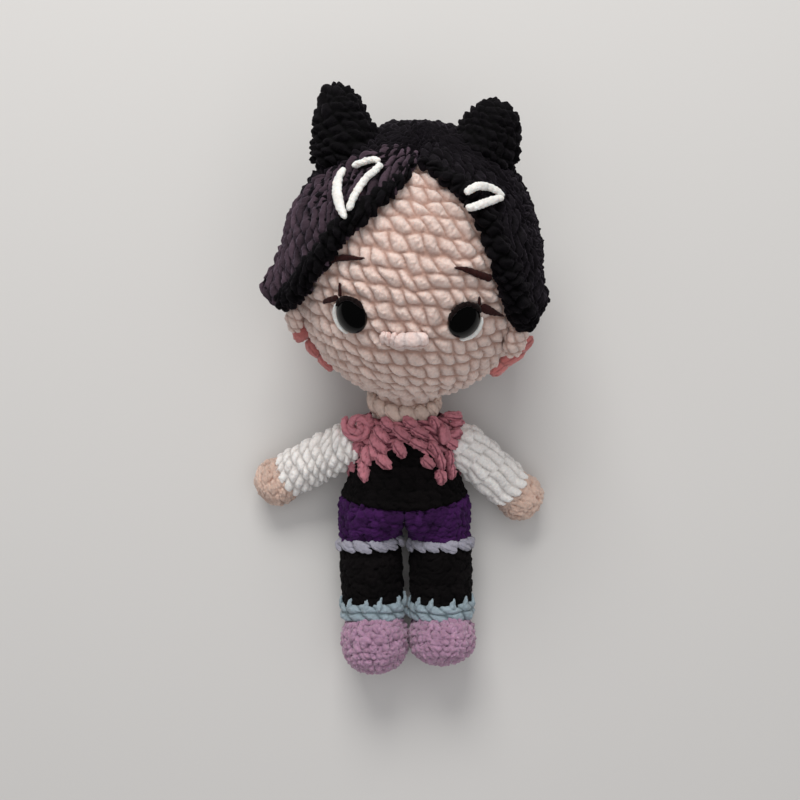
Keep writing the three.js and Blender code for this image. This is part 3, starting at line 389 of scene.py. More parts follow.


# chenille yarn, hooked into stitches: a velvet pile whose raised middles are pale and whose crevices are painted dark
# with the deep colour, as painted shade.
# The pile's tufts are 1.3 mm wide and its fibres are drawn at 0.4 mm, coarser than they are, so that they show
def chenille(name, colour, deep, sheen=0.35, mottle=0.22, sheenTint="#ffffff", spread=0.14,
             creviceShade=(0.0, 0.7), glow=0.5):
    pileSize, pileDepth, fibreSize, fibreDepth, glowDepth = 1.3, 0.7, 0.4, 0.35, 2.2
    material, tree = newMaterial(name)
    place = addNode(tree, "TexCoord")
    relief = addNode(tree, "Attribute", attribute_name="relief")
    tone = addNode(tree, "Attribute", attribute_name="tone")
    pile = addNode(tree, "TexNoise", {"Scale": scaleOf(pileSize), "Detail": 3.0, "Roughness": 0.6},
                   {"Vector": (place, "Object")})
    fibre = addNode(tree, "TexNoise", {"Scale": scaleOf(fibreSize), "Detail": 2.0}, {"Vector": (place, "Object")})
    rough = addNode(tree, "Math", {1: mottle}, {0: (pile, "Fac")}, operation="MULTIPLY")
    raised = addNode(tree, "Math", {}, {0: (relief, "Fac"), 1: (rough, "Value")}, operation="ADD")
    # painted shade: low relief, roughened by the pile, mixes towards the deep colour
    share = addNode(tree, "MapRange", {"From Min": creviceShade[0] + mottle / 2, "From Max": creviceShade[1] + mottle / 2},
                    {"Value": (raised, "Value")}, interpolation_type="SMOOTHSTEP")
    mix = addNode(tree, "Mix", {"A": linear(deep), "B": linear(colour)}, {"Factor": (share, "Result")},
                  data_type="RGBA")
    value = addNode(tree, "MapRange", {"To Min": 1 - spread, "To Max": 1 + spread * 0.7}, {"Value": (tone, "Fac")})
    # painted shade on the pile: its high tufts lighter, its hollows darker
    pileShade = addNode(tree, "MapRange", {"From Min": 0.25, "From Max": 0.75, "To Min": 0.88, "To Max": 1.1},
                    {"Value": (pile, "Fac")})
    bright = addNode(tree, "Math", {}, {0: (value, "Result"), 1: (pileShade, "Result")}, operation="MULTIPLY")
    shade = addNode(tree, "HueSaturation", {}, {"Value": (bright, "Value")})
    for socket in mix.outputs:
        if socket.type == "RGBA" and socket.enabled:
            tree.links.new(socket, shade.inputs["Color"])
    tufted = addNode(tree, "Bump", {"Strength": 0.7, "Distance": pileDepth * metresPerMm}, {"Height": (pile, "Fac")})
    bump = addNode(tree, "Bump", {"Strength": 0.6, "Distance": fibreDepth * metresPerMm},
                   {"Height": (fibre, "Fac"), "Normal": (tufted, "Normal")})
    values = {"Roughness": 0.92, "Specular IOR Level": 0.15, "Sheen Weight": sheen, "Sheen Roughness": 0.45,
              "Sheen Tint": linear(sheenTint), "Subsurface Weight": glow,
              "Subsurface Scale": glowDepth * metresPerMm, "Subsurface Radius": (1.0, 0.8, 0.7)}
    surface = addNode(tree, "BsdfPrincipled", values, {"Base Color": (shade, "Color"), "Normal": (bump, "Normal")})
    addNode(tree, "OutputMaterial", {}, {"Surface": (surface, "BSDF")})
    return material


# injection-moulded plastic from a polished mould: even colour with a hard gloss, faintly scuffed every 2.5 mm
def mouldedPlastic(name, colour, roughness):
    scuffSize = 2.5
    material, tree = newMaterial(name)
    place = addNode(tree, "TexCoord")
    scuff = addNode(tree, "TexNoise", {"Scale": scaleOf(scuffSize), "Detail": 4.0}, {"Vector": (place, "Object")})
    rough = addNode(tree, "MapRange", {"To Min": roughness * 0.7, "To Max": roughness * 1.4},
                    {"Value": (scuff, "Fac")})
    surface = addNode(tree, "BsdfPrincipled", {"Base Color": linear(colour), "Specular IOR Level": 0.2},
                      {"Roughness": (rough, "Result")})
    addNode(tree, "OutputMaterial", {}, {"Surface": (surface, "BSDF")})
    return material


# matt painted board: a flat pale sheet that takes soft shadows
def paintedBoard(name, colour):
    material, tree = newMaterial(name)
    surface = addNode(tree, "BsdfPrincipled",
                      {"Base Color": linear(colour), "Roughness": 0.85, "Specular IOR Level": 0.2})
    addNode(tree, "OutputMaterial", {}, {"Surface": (surface, "BSDF")})
    return material


skinYarn = chenille("skin_chenille_yarn", "#dcc6bd", "#b59386", sheen=0.3, mottle=0.24, spread=0.07)
skinPaleYarn = chenille("pale_skin_chenille_yarn", "#e6cfc9", "#c09388", sheen=0.3,
                        sheenTint="#ffdcd0", spread=0.06, glow=0.35)
handYarn = chenille("hand_chenille_yarn", "#cdb2a4", "#a07868", sheen=0.3)
# one black hair yarn in three copies painted at three levels of light: the lit plum-black one on the fringe on the
# doll's right, the half-lit one on the cap and the fringe on its left, the darkest one on the rims and tufts
hairYarn = chenille("black_hair_chenille_yarn", "#09070a", "#010101", sheen=0.08,
                    sheenTint="#8a7c90", spread=0.35, glow=0)
hairHalfLitYarn = chenille("half_lit_black_hair_chenille_yarn", "#131014", "#020102", sheen=0.16,
                       sheenTint="#9888a0", spread=0.4, glow=0)
hairLitYarn = chenille("lit_plum_black_hair_chenille_yarn", "#44363f", "#060406", sheen=0.34,
                       sheenTint="#a898b0", spread=0.4, glow=0)
coralYarn = chenille("coral_chenille_yarn", "#cf8380", "#9c5654", sheen=0.35)
roseYarn = chenille("dusty_rose_chenille_yarn", "#c27e89", "#64323e", sheen=0.4,
                    sheenTint="#f0b4bc", creviceShade=(0.15, 0.95), glow=0.25)
blackYarn = chenille("black_body_chenille_yarn", "#0b0809", "#020202", sheen=0.05,
                     sheenTint="#706870", spread=0.4, glow=0)
purpleYarn = chenille("purple_chenille_yarn", "#3a1748", "#0c0412", sheen=0.16,
                      sheenTint="#b090d0", spread=0.35, mottle=0.6, glow=0)
sleeveYarn = chenille("off_white_chenille_yarn", "#eeeae7", "#cbc5c1", sheen=0.3, spread=0.06,
                      glow=0.2)
garterYarn = chenille("cool_white_chenille_yarn", "#9d9ba8", "#56545f", sheen=0.25, glow=0.2)
cuffYarn = chenille("pale_blue_chenille_yarn", "#93a3ac", "#5c6a70", sheen=0.25, glow=0.2)
shoeYarn = chenille("lilac_chenille_yarn", "#a6839b", "#4e364a", sheen=0.35)
creamYarn = chenille("cream_chenille_yarn", "#dbc5b9", "#9e8376", sheen=0.3,
                     sheenTint="#ffe8dc", glow=0.25)
whiteYarn = chenille("white_embroidery_yarn", "#e8e6e2", "#a8a29c", sheen=0.2, spread=0.06)
darkThread = chenille("dark_brown_embroidery_thread", "#2e1211", "#120504", sheen=0.1,
                      spread=0.1, glow=0)
lidThread = chenille("black_embroidery_thread", "#150a0a", "#060202", sheen=0.08, spread=0.1,
                     glow=0)
eyePlastic = mouldedPlastic("black_eye_plastic", "#030303", 0.07)
washerPlastic = mouldedPlastic("white_washer_plastic", "#dcdcd8", 0.4)
print("materials made")

# ---- head: longitude 0 is the face, +90 the doll's left; latitude 90 is the crown
head = {"half": (52, 57, 50), "cheek": 0.88, "aboveTurn": 52, "inset": 0.1, "faceCrowding": 28,
        "grid": (420, 330), "stitch": (6.7, 7.2),
        "fabric": {"depth": 2.3, "roundness": 0.95, "fuzz": 0.22, "sink": 0.62, "slant": 0.62, "seed": 4,
                   "wander": 0.12}}
headUp = unit(joints["head_turn"]["axis"])
headAcross = unit([headUp[1], -headUp[0], 0])
headFrame = makeFrame(pivotOf("head_turn") + headUp * head["aboveTurn"], headUp, headAcross)
neckFrame = makeFrame(pivotOf("neck_nod"), headUp, headAcross)


def skull(lon, lat, lift=0.0):
    lon, lat, lift = np.broadcast_arrays(np.asarray(lon, float), lat, lift)
    lo, la = np.radians(lon), np.radians(lat)
    ring = np.clip(np.cos(la), 0, 1)
    ring = np.where(la < 0, ring ** head["cheek"], ring)
    wide, tall, deep = (half + lift for half in head["half"])
    return put(headFrame, np.stack([wide * np.sin(lo) * ring, tall * np.sin(la), deep * np.cos(lo) * ring], -1))


def skullOut(lon, lat):
    return unit(skull(lon, lat, 1.0) - skull(lon, lat, 0.0))


# a path over the skull, and the way it faces
def onSkull(places, lift=0.0, samples=160):
    track = pathThrough(places, samples)
    extra = track[:, 2] if track.shape[1] > 2 else 0.0
    return skull(track[:, 0], track[:, 1], lift + extra), skullOut(track[:, 0], track[:, 1])


# the head's grid is denser on the face
def frontLon(u):
    return 360 * (u - 0.5) - head["faceCrowding"] * np.sin(fullTurn * (u - 0.5))


def headSurface(u, v):
    return skull(frontLon(u), lerp(-90, 90, v), -head["inset"])


skinFabric = crochetFabric(stitchPlan(headSurface, *head["stitch"]), **head["fabric"])


# the stitches stay even round the head
def headFabric(u, v, points):
    return skinFabric((frontLon(u) + 180) / 360, v, points)


clothPiece("head_fabric", "head", skinYarn, headSurface, head["grid"], headFabric, (True, True),
           nodes=("head_skin", "head_stuffing"), fill=0.95)

ears = {"places": {"left": (58, -19), "right": (-76, -22)}, "lift": 2.6, "half": (6.4, 7.5, 4.2),
        "crochet": {"grid": (60, 44), "stitch": (5.5, 5.5), "depth": 1.3, "seed": 21, "slant": 0.6}}
for side, (lon, lat) in ears["places"].items():
    earFrame = makeFrame(skull(lon, lat, ears["lift"]), headUp, np.cross(headUp, skullOut(lon, lat)))

    def earSurface(u, v):
        la, lo = (v - 0.5) * np.pi, u * fullTurn
        oval = np.stack([np.cos(la) * np.sin(lo), np.sin(la), np.cos(la) * np.cos(lo)], -1)
        return put(earFrame, oval * ears["half"])

    yarnwork(f"{side}_ear_fabric", "head", skinYarn, earSurface, poles=(True, True), nodes=[f"{side}_ear"],
             **ears["crochet"])
print("head made")

# ---- face
eyes = {
    "left": {"lon": 23.7, "lat": -5.6, "half": (6.9, 7.5), "dome": 3.2},
    "right": {"lon": -27.4, "lat": -7.8, "half": (6.9, 7.7), "dome": 3.2},
}
button = {"lift": 0.8, "seat": 1.2, "flatness": 1.4, "rings": 14, "sides": 48, "weld": 1e-4}


def skinFrameAt(lon, lat, lift=0.0):
    east = unit(skull(lon + 0.5, lat) - skull(lon - 0.5, lat))
    north = unit(skull(lon, lat + 0.5) - skull(lon, lat - 0.5))
    return makeFrame(skull(lon, lat, lift), north, east)


for side, eye in eyes.items():
    eyeFrame = skinFrameAt(eye["lon"], eye["lat"], button["lift"])
    wide, tall = eye["half"]
    angles = np.linspace(0, np.pi / 2, button["rings"] + 1)
    outline = [(np.sin(angle) * wide, np.cos(angle) ** button["flatness"] * eye["dome"]) for angle in angles]
    outline += [(wide, -button["seat"]), (0, -button["seat"])]
    profile = bmesh.new()
    rim = [profile.verts.new((x, 0, z)) for x, z in outline]
    for first, second in zip(rim, rim[1:]):
        profile.edges.new((first, second))
    bmesh.ops.spin(profile, geom=profile.verts[:] + profile.edges[:], cent=(0, 0, 0), axis=(0, 0, 1),
                   angle=fullTurn, steps=button["sides"], use_merge=True)
    bmesh.ops.remove_doubles(profile, verts=profile.verts, dist=button["weld"])
    bmesh.ops.scale(profile, vec=(1, tall / wide, 1), verts=profile.verts)
    for vert in profile.verts:
        vert.co = Vector(put(eyeFrame, np.array(vert.co))) * metresPerMm
    bmesh.ops.recalc_face_normals(profile, faces=profile.faces)
    mesh = bpy.data.meshes.new(f"{side}_eye_button")
    profile.to_mesh(mesh)
    profile.free()
    finishMesh(f"{side}_eye_button", "head", eyePlastic, mesh, [f"{side}_eye"])
    frame["nodes"][f"{side}_eye_washer"].data.materials.clear()
    frame["nodes"][f"{side}_eye_washer"].data.materials.append(washerPlastic)

# threads round each eye: angles round its rim, or places on the face as longitude and latitude
faceLines = {
    "left": {
        "white": (-98, 8), "lid": (28, 172),
        "lashes": [
            {"places": [(45, -6.1), (41, -4.4), (37.1, -2.9), (33.6, -1.2), (30.6, 0.4)],
             "across": (0.3, 0.8, 1.4, 1.9, 1.5)},
            {"places": [(29.5, 4.4), (29.7, 2.4), (30.0, 0.6)], "across": (0.3, 0.6, 0.9)},
        ],
    },
    "right": {
        "white": (150, 258), "lid": (38, 158),
        "lashes": [
            {"places": [(-43.2, -6.0), (-40.6, -4.4), (-37.4, -2.9), (-34.0, -1.2)], "across": (0.7, 1.1, 1.2, 1.2)},
            {"places": [(-33.8, 5.0), (-33.5, 2.2), (-33.0, -0.8)], "across": (0.3, 0.65, 0.9)},
        ],
    },
}
eyeWhite = {"gap": 0.75, "lift": 0.5, "across": (0.4, 1.0, 1.3, 1.1, 0.4), "up": 1.0}
lash = {"lift": 1.1, "up": 0.6}
lid = {"gap": 0.1, "lift": 1.3, "across": (0.6, 1.1, 0.9, 1.2, 1.0, 0.6), "up": 1.0}
for side, lines in faceLines.items():
    eye = eyes[side]
    eyeFrame = skinFrameAt(eye["lon"], eye["lat"])

    def roundEye(angles, gap, lift):
        angles = np.radians(np.linspace(*angles, 120))
        wide, tall = eye["half"]
        ring = ((wide + gap) * np.cos(angles), (tall + gap) * np.sin(angles), np.full_like(angles, lift))
        ring = put(eyeFrame, np.stack(ring, -1))
        return ring, np.broadcast_to(eyeFrame["basis"][:, 2], ring.shape)

    path, outward = roundEye(lines["white"], eyeWhite["gap"], eyeWhite["lift"])
    yarnPiece(f"{side}_eye_white_yarn", "head", whiteYarn, path, outward, eyeWhite["across"], eyeWhite["up"],
              pitch=5, depth=0.1, fuzz=0.05, nodes=[f"{side}_eye_white"])
    for i, stroke in enumerate(lines["lashes"]):
        path, outward = onSkull(stroke["places"], lash["lift"])
        yarnPiece(f"{side}_lash_{i}", "head", darkThread, path, outward, stroke["across"], lash["up"],
                  pitch=2, depth=0.1, fuzz=0.08, columns=14)
    path, outward = roundEye(lines["lid"], lid["gap"], lid["lift"])
    yarnPiece(f"{side}_lash_line", "head", lidThread, path, outward, lid["across"], lid["up"],
              pitch=2, depth=0.16, fuzz=0.2, columns=14, nodes=[f"{side}_lashes"])

brows = {
    "left": {"places": [(17.0, 16.4), (22.6, 15.5), (28.6, 13.3), (36, 10.8)], "across": (0.3, 1.1, 1.5, 1.5)},
    "right": {"places": [(-23.2, 16.7), (-27.9, 15.9), (-33.5, 15.0), (-39.2, 13.0), (-43, 9.6)],
              "across": (0.3, 0.9, 1.25, 1.3, 1.3)},
}
browLift, browUp = 0.8, 0.9
for side, brow in brows.items():
    path, outward = onSkull(brow["places"], browLift)
    yarnPiece(f"{side}_brow_yarn", "head", darkThread, path, outward, brow["across"], browUp,
              pitch=2.6, depth=0.16, fuzz=0.12, nodes=[f"{side}_brow"])

# the nose: loops side by side, as longitude, latitude, length, width, thickness and turn from upright
noseLoops = [
    (-11.9, -14.5, 5.4, 3.0, 3.0, 4), (-9.5, -14.4, 6.2, 3.2, 3.6, -6), (-7.0, -14.3, 6.4, 3.4, 4.0, 8),
    (-3.2, -14.2, 7.2, 6.6, 5.4, 60), (1.2, -13.5, 9.4, 7.2, 5.8, 84), (4.4, -13.2, 7.0, 6.8, 5.2, 100),
    (-0.2, -15.0, 8.4, 5.0, 5.0, 88),
]
noseSink = 0.6
places = []
for lon, lat, long, wide, thick, turned in noseLoops:
    up = unit(skull(lon, lat + 1) - skull(lon, lat - 1))
    angle = np.radians(turned)
    places.append({"at": skull(lon, lat, thick / 2 - noseSink), "outward": skullOut(lon, lat),
                   "along": up * np.cos(angle) + headAcross * np.sin(angle),
                   "length": long, "width": wide, "thick": thick, "taper": 0.0})
stitchCluster("nose_yarn", "head", skinPaleYarn, places, fuzz=0.22, seed=17, nodes=["nose_stitch"])
print("face made")

# ---- hair: the cap's lower edge and the two fringe panels, as longitude, latitude and lift
hair = {"thick": 4.7, "crochet": {"depth": 2.0, "fuzz": 0.24, "fuzzSize": 2.6, "sink": 0.6, "slant": 0.6,
                                  "wander": 0.28, "ripple": 0.12, "lean": 0.2}}
# the cap is thinner on the doll's left, where the fringe lies on it
cap = {"grid": (460, 240), "stitch": (6.2, 5.4), "seed": 31, "fold": 0.05, "hem": 0.5, "inset": 0.4,
       "flankAt": (88, 18), "flankSpread": (34, 26), "flankDepth": 2.4}
capEdge = np.array([
    [-180, -38], [-112, -31], [-94, -21], [-89, -5], [-72, -4], [-62, 14], [-45, 28], [-26, 48], [-7, 64],
    [10, 64], [27, 49], [42, 30], [56, 12], [66, -3], [72, -5], [89, -5], [94, -21], [112, -31], [180, -38],
], float)


def capSurface(u, v):
    lon = 360 * (np.mod(u, 1) - 0.5)
    lat = lerp(np.interp(lon, capEdge[:, 0], capEdge[:, 1]) - 1, 90, v)
    aside = [(value - at) / spread for value, at, spread in zip((lon, lat), cap["flankAt"], cap["flankSpread"])]
    flank = cap["flankDepth"] * np.exp(-(aside[0] ** 2) - (aside[1] ** 2))
    return skull(lon, lat, lerp(cap["hem"], hair["thick"] - cap["inset"] - flank, roundEnd(v, cap["fold"])))


yarnwork("hair_cap_fabric", "head", hairHalfLitYarn, capSurface, cap["grid"], cap["stitch"], (False, True),
         ["hair_cap"], 0.9, seed=cap["seed"], **hair["crochet"])

fringes = {
    "right": {
        "inner": [(-5.6, 59, 0), (-8.4, 56.6, 0), (-11.4, 50.7, 0), (-13.6, 45, 0), (-17.8, 39.6, 0), (-23, 33.8, 0),
                  (-28.2, 27.2, 0), (-34.5, 19.4, 0), (-38.4, 11.5, 0), (-45.7, 2.8, 0), (-53.5, -6.8, 0.8),
                  (-63, -12.5, 1.6), (-72, -17, 3)],
        "outer": [(-5, 64, 0), (-18, 67.5, 0), (-34, 66.5, 0), (-48, 61.5, 0), (-59, 54.5, 0), (-68, 45.5, 0),
                  (-78, 35, 1.2), (-81.5, 23, 2.0), (-82, 10, 1.8), (-82.5, -1, 5.5), (-81, -8, 11),
                  (-79, -13.5, 11)],
        "rim": (1.4, 2.4, 3.4, 4.2, 4.6, 4.8, 4.8, 4.8, 4.6, 4.4), "material": hairLitYarn, "seed": 41,
    },
    "left": {
        "inner": [(-5.0, 59, 0), (5.6, 55, 0), (13.7, 49.4, 0), (21.1, 44.1, 0), (26.6, 38.2, 0), (30.4, 29, 0),
                  (32.4, 22.3, 0), (34.9, 15.3, 0), (38.1, 7.3, 0), (41.6, 0, 0), (48.1, -8.6, 0.6), (56, -11, 1.2)],
        "outer": [(-4, 68, 0), (11, 70, 0), (26, 67.5, 0), (40, 61.5, 0), (51, 51.5, 0), (57, 40, 0),
                  (61, 26, 0), (67, 10, 0.6), (73, -1, 3.2), (72, -10, 4.4)],
        "rim": (1.4, 2.4, 3.4, 4.2, 4.6, 5.0, 5.4, 5.6, 5.6, 5.2), "material": hairHalfLitYarn, "seed": 43,
    },
}
panel = {"grid": (190, 150), "stitch": (5.0, 6.2), "ends": (0.03, 0.07), "middle": 0.52, "reach": 0.48,
         "endReach": 0.35, "height": 0.45, "bulge": 0.62, "flatness": 0.45}
fringeRim = {"columns": 64, "spacing": 0.6, "stitch": (5.6, 5.6), "slant": 0.9, "lift": 3.4, "flatness": 0.9,
             "aside": 1.08, "outward": 0.1}
for side, fringe in fringes.items():
    innerTrack, outerTrack = pathThrough(fringe["inner"], 200), pathThrough(fringe["outer"], 200)

    # round a flat oval section: the half with positive lift shows
    def panelSurface(u, v):
        ends = roundEnd(v, panel["ends"][0]) * roundEnd(1 - v, panel["ends"][1])
        angle = fullTurn * u
        a, b = pick(innerTrack, v), pick(outerTrack, v)
        acrossShare = panel["middle"] - panel["reach"] * np.cos(angle) * lerp(panel["endReach"], 1, ends)
        bulge = np.sign(np.sin(angle)) * np.abs(np.sin(angle)) ** panel["flatness"] * ends
        lift = hair["thick"] * (panel["height"] + panel["bulge"] * bulge)
        spot = a + (b - a) * acrossShare[..., None]
        return skull(spot[..., 0], spot[..., 1], spot[..., 2] + lift)

    yarnwork(f"{side}_fringe_fabric", "head", fringe["material"], panelSurface, panel["grid"], panel["stitch"],
             (True, True), [f"{side}_fringe"], seed=fringe["seed"], **hair["crochet"])

    # the rim: a fat roll that lies just outside the panel's inner edge
    edge, outward = onSkull(fringe["inner"], fringeRim["lift"], 200)
    radius = pick(fringe["rim"], np.linspace(0, 1, 200))
    lean = unit(skull(*(lerp(innerTrack, outerTrack, 0.2)[:, :2].T)) - skull(*innerTrack[:, :2].T))
    path = edge + (lean * fringeRim["aside"] + outward * fringeRim["outward"]) * radius[:, None]
    rimSurface = yarnSurface(path, outward, fringe["rim"], np.array(fringe["rim"]) * fringeRim["flatness"])
    grid = (fringeRim["columns"], int(lengthOf(path) / fringeRim["spacing"]))
    yarnwork(f"{side}_fringe_rim", "head", hairYarn, rimSurface, grid, fringeRim["stitch"], (True, True),
             seed=fringe["seed"] + 1, **dict(hair["crochet"], slant=fringeRim["slant"]))
print("fringes made")

# each tuft runs through places in the doll's frame, with half widths and half depths
tufts = {
    "right": {"track": [(-22.5, 146, 81), (-24, 158, 80.5), (-26, 168, 80), (-27.4, 177, 80), (-28, 184.6, 79.5)],
              "wide": (17, 15.4, 12.8, 10.6, 8.8), "deep": (11, 11, 10.5, 10, 9)},
    "left": {"track": [(27.6, 144, 81), (31, 154, 80.5), (34.4, 163, 80), (36.4, 171, 80), (37.2, 178, 79.5)],
             "wide": (12.5, 14.2, 14.2, 12.2, 9.6), "deep": (11.5, 11.5, 11, 10, 9)},
}
tuftCrochet = {"grid": (150, 80), "stitch": (5.4, 5.0), "seed": 51, **hair["crochet"]}
for side, tuft in tufts.items():
    track = pathThrough(tuft["track"], 120)
    outward = np.broadcast_to(headFrame["basis"][:, 2], track.shape)
    tuftSurface = yarnSurface(track, outward, tuft["wide"], tuft["deep"], endLength=0.85)
    yarnwork(f"{side}_tuft_fabric", "head", hairYarn, tuftSurface, poles=(True, True),
             nodes=[f"{side}_hair_tuft"], **tuftCrochet)

# the clips' embroidered strokes, as longitude, latitude and lift off the hair
clips = {
    "right": {"lift": 3.2, "strokes": [
        {"places": [(-32.0, 28.8, 0.9), (-34.6, 30.2, 0.4), (-41.6, 35.0, -0.6), (-45.8, 38.4, -0.9),
                    (-49.1, 42.3, -1.0), (-50.2, 47.0, -1.0)], "across": (1.0, 1.7, 2.1, 2.2, 2.0, 1.3)},
        {"places": [(-45.4, 48.4, -0.8), (-38.6, 51.9, -0.7), (-33.6, 53.4, -0.6), (-28.5, 53, -0.5)],
         "across": (1.0, 1.2, 1.3, 1.3)},
        {"places": [(-26.4, 52.4, -0.4), (-28.8, 48.4, -0.4), (-31.0, 45.6, -0.4), (-32.2, 41.4, -0.2),
                    (-32.6, 36.7, 0.3), (-32.2, 31.5, 0.8)], "across": (1.2, 1.4, 1.4, 1.5, 1.5, 1.3)},
    ]},
    "left": {"lift": 4.0, "strokes": [
        {"places": [(20.2, 41.2, 3.0), (26.6, 43.8, 1.6), (31.7, 44.6, 0.4), (36.8, 44.5, -0.6), (42.3, 42.9, -1.3),
                    (45.6, 40.3, -1.5)], "across": (1.3, 1.6, 1.6, 1.6, 1.5, 1.1)},
        {"places": [(20.4, 36.5, 1.2), (25.0, 37.1, 0.8), (32.2, 38.6, 0), (40.2, 39.8, -1.0), (44.6, 39.9, -1.4)],
         "across": (1.4, 1.6, 1.6, 1.5, 1.2)},
    ]},
}
clipUp = 1.3
for side, clip in clips.items():
    for i, stroke in enumerate(clip["strokes"]):
        path, outward = onSkull(stroke["places"], hair["thick"] + clip["lift"])
        yarnPiece(f"{side}_clip_{i}", "head", whiteYarn, path, outward, stroke["across"], clipUp,
                  pitch=3.4, depth=0.2, fuzz=0.14, nodes=[f"{side}_hair_clip"] if i == 0 else [])

# the coral layer hangs from under the cap's edge, right round the nape
coral = {"lons": (94, 266), "overlap": 2, "lowest": -51, "waves": 9, "waveDepth": 3.5,
         "crochet": {"grid": (260, 40), "stitch": (6.5, 6.0), "depth": 1.8, "seed": 61, "slant": 0.4}}


def coralSurface(u, v):
    lon = lerp(*coral["lons"], u)
    edge = np.interp(np.where(lon > 180, lon - 360, lon), capEdge[:, 0], capEdge[:, 1])
    wave = coral["waveDepth"] * np.abs(np.sin(u * coral["waves"] * np.pi))
    swell = np.sqrt(np.clip(np.sin(np.pi * v), 0, 1))
    return skull(lon, lerp(edge + coral["overlap"], coral["lowest"] - wave, v), hair["thick"] * swell)


yarnwork("under_hair_fabric", "head", coralYarn, coralSurface, nodes=["under_hair"], **coral["crochet"])

# its loops beside the ears: place, direction, length and width
coralLoops = [
    ((-45.0, 84.0, 46), (0.9, 0.6, 0), 8.5, 6.5), ((-40.5, 77.5, 43), (0.6, -0.9, 0), 9.0, 5.0),
    ((-34.8, 71.4, 42), (0.75, -0.8, 0), 9.5, 4.6), ((52.0, 79.0, 46), (0.9, 0.7, 0), 11, 6.0),
    ((47.5, 74.0, 45), (0.95, 0.55, 0), 13, 6.5), ((41.5, 69.0, 44), (0.8, 0.6, 0), 9.5, 6.0),
]
places = [{"at": at, "along": along, "outward": (0, 0, 1), "length": long, "width": wide, "thick": 6, "taper": 0.1}
          for at, along, long, wide in coralLoops]
stitchCluster("under_hair_stitches", "head", coralYarn, places, seed=19)
print("hair made")

# ---- neck and collar: the neck has a ball at each end, in the yoke and in the head
neck = {"radius": 14, "ball": 14.6, "length": 17, "inset": 0.3, "endShare": 0.75,
        "crochet": {"grid": (170, 80), "stitch": (7.0, 6.8), "depth": 1.6, "seed": 71, "slant": 0.8}}


def neckSurface(u, v):
    y = lerp(-neck["endShare"] * neck["ball"], neck["length"] + neck["endShare"] * neck["ball"], v)
    lower = np.sqrt(np.clip(neck["ball"] ** 2 - y**2, 0, None))
    upper = np.sqrt(np.clip(neck["ball"] ** 2 - (y - neck["length"]) ** 2, 0, None))
    between = np.where((y > 0) & (y < neck["length"]), neck["radius"], 0)
    return onRing(neckFrame, np.maximum(np.maximum(lower, upper), between) - neck["inset"], u, y)


yarnwork("neck_fabric", "neck", skinYarn, neckSurface, nodes=("neck", "neck_stuffing"), fill=0.9,
         **neck["crochet"])

collar = {"radius": 14.6, "at": 4.8, "count": 14, "runs": (0.8, -0.72),
          "form": {"length": 9.6, "width": 6.6, "thick": 5.4, "taper": 0.05, "bow": 0.2}}
places = []
for i in range(collar["count"]):
    u = (i + 0.3) / collar["count"]
    places.append({"at": onRing(neckFrame, collar["radius"], u, collar["at"]),
                   **ringStitch(neckFrame, u, *collar["runs"]), **collar["form"]})
stitchCluster("collar_stitches", "neck", creamYarn, places, seed=5, nodes=["collar"])
print("neck made")

# ---- torso: half width and half depth along its own Y, as shares of the hips
torso = {"half": (30.3, 20.5), "rest": 19.1, "tilt": 8, "top": 49}
torsoShares = np.array([
    [-0.4, 0.93, 0.94], [-0.14, 0.93, 0.94], [0, 0.995, 1], [0.12, 1, 0.985], [0.24, 0.955, 0.95],
    [0.36, 0.86, 0.915], [0.5, 0.775, 0.885], [0.66, 0.755, 0.88], [0.8, 0.745, 0.88], [0.9, 0.7, 0.88],
    [1, 0.63, 0.875], [1.1, 0.5, 0.78],
])
tilt = np.radians(torso["tilt"])
torsoFrame = makeFrame((0, 0, torso["rest"]), (0, np.cos(tilt), np.sin(tilt)), (1, 0, 0))
torsoOut = torsoFrame["basis"][:, 2]


def torsoHalf(y):
    share = np.asarray(y) / torso["top"]
    return (torso["half"][0] * np.interp(share, torsoShares[:, 0], torsoShares[:, 1]),
            torso["half"][1] * np.interp(share, torsoShares[:, 0], torsoShares[:, 2]))


def onTorso(u, y, lift=0.0):
    wide, deep = torsoHalf(y)
    angle = np.asarray(u) * fullTurn
    ring = ((wide + lift) * np.sin(angle), np.asarray(y, float), (deep + lift) * np.cos(angle))
    return put(torsoFrame, np.stack(np.broadcast_arrays(*ring), -1))


# a place on the torso's front at x across and y along, and its outward side
def torsoFront(x, y, lift):
    wide, deep = torsoHalf(y)
    u = np.arcsin(np.clip(x / wide, -0.99, 0.99)) / fullTurn
    return onTorso(u, y, lift), unit(onTorso(u, y, 1.0) - onTorso(u, y, 0.0))


# a stitch there, turned from straight down and, by a share, towards the viewer
def frontStitch(x, y, turned, length, width, lift, towards=0.0, **form):
    at, outward = torsoFront(x, y, lift)
    outward = unit((1 - towards) * outward + towards * torsoOut)
    angle = np.radians(turned)
    return {"at": at, "outward": outward, "along": torsoFrame["basis"] @ (np.sin(angle), -np.cos(angle), 0),
            "length": length, "width": width, **form}


def edgeAt(u, front, side, back):
    toFront = np.cos(np.asarray(u) * fullTurn)
    return lerp(side, np.where(toFront > 0, front, back), np.abs(toFront) ** 1.5)


waist = {"edge": (7.7, 11.5, 11.5), "top": (42, 34, 34), "hem": 0.08, "lift": (-1.6, 0.3), "tuck": 2.2,
         "tuckFrom": 0.75,
         "crochet": {"grid": (300, 80), "stitch": (6.4, 5.4), "depth": 1.5, "puff": 3.0, "seed": 81,
                     "stitches": 0.5, "slant": 0.6}}


def waistSurface(u, v):
    y = lerp(edgeAt(u, *waist["edge"]), edgeAt(u, *waist["top"]), v)
    lift = lerp(*waist["lift"], roundEnd(v, waist["hem"])) - waist["tuck"] * smooth(v, waist["tuckFrom"], 1)
    return onTorso(u, y, lift)


yarnwork("waist_fabric", "torso", blackYarn, waistSurface, nodes=("waist", "torso_stuffing"), fill=0.9,
         **waist["crochet"])

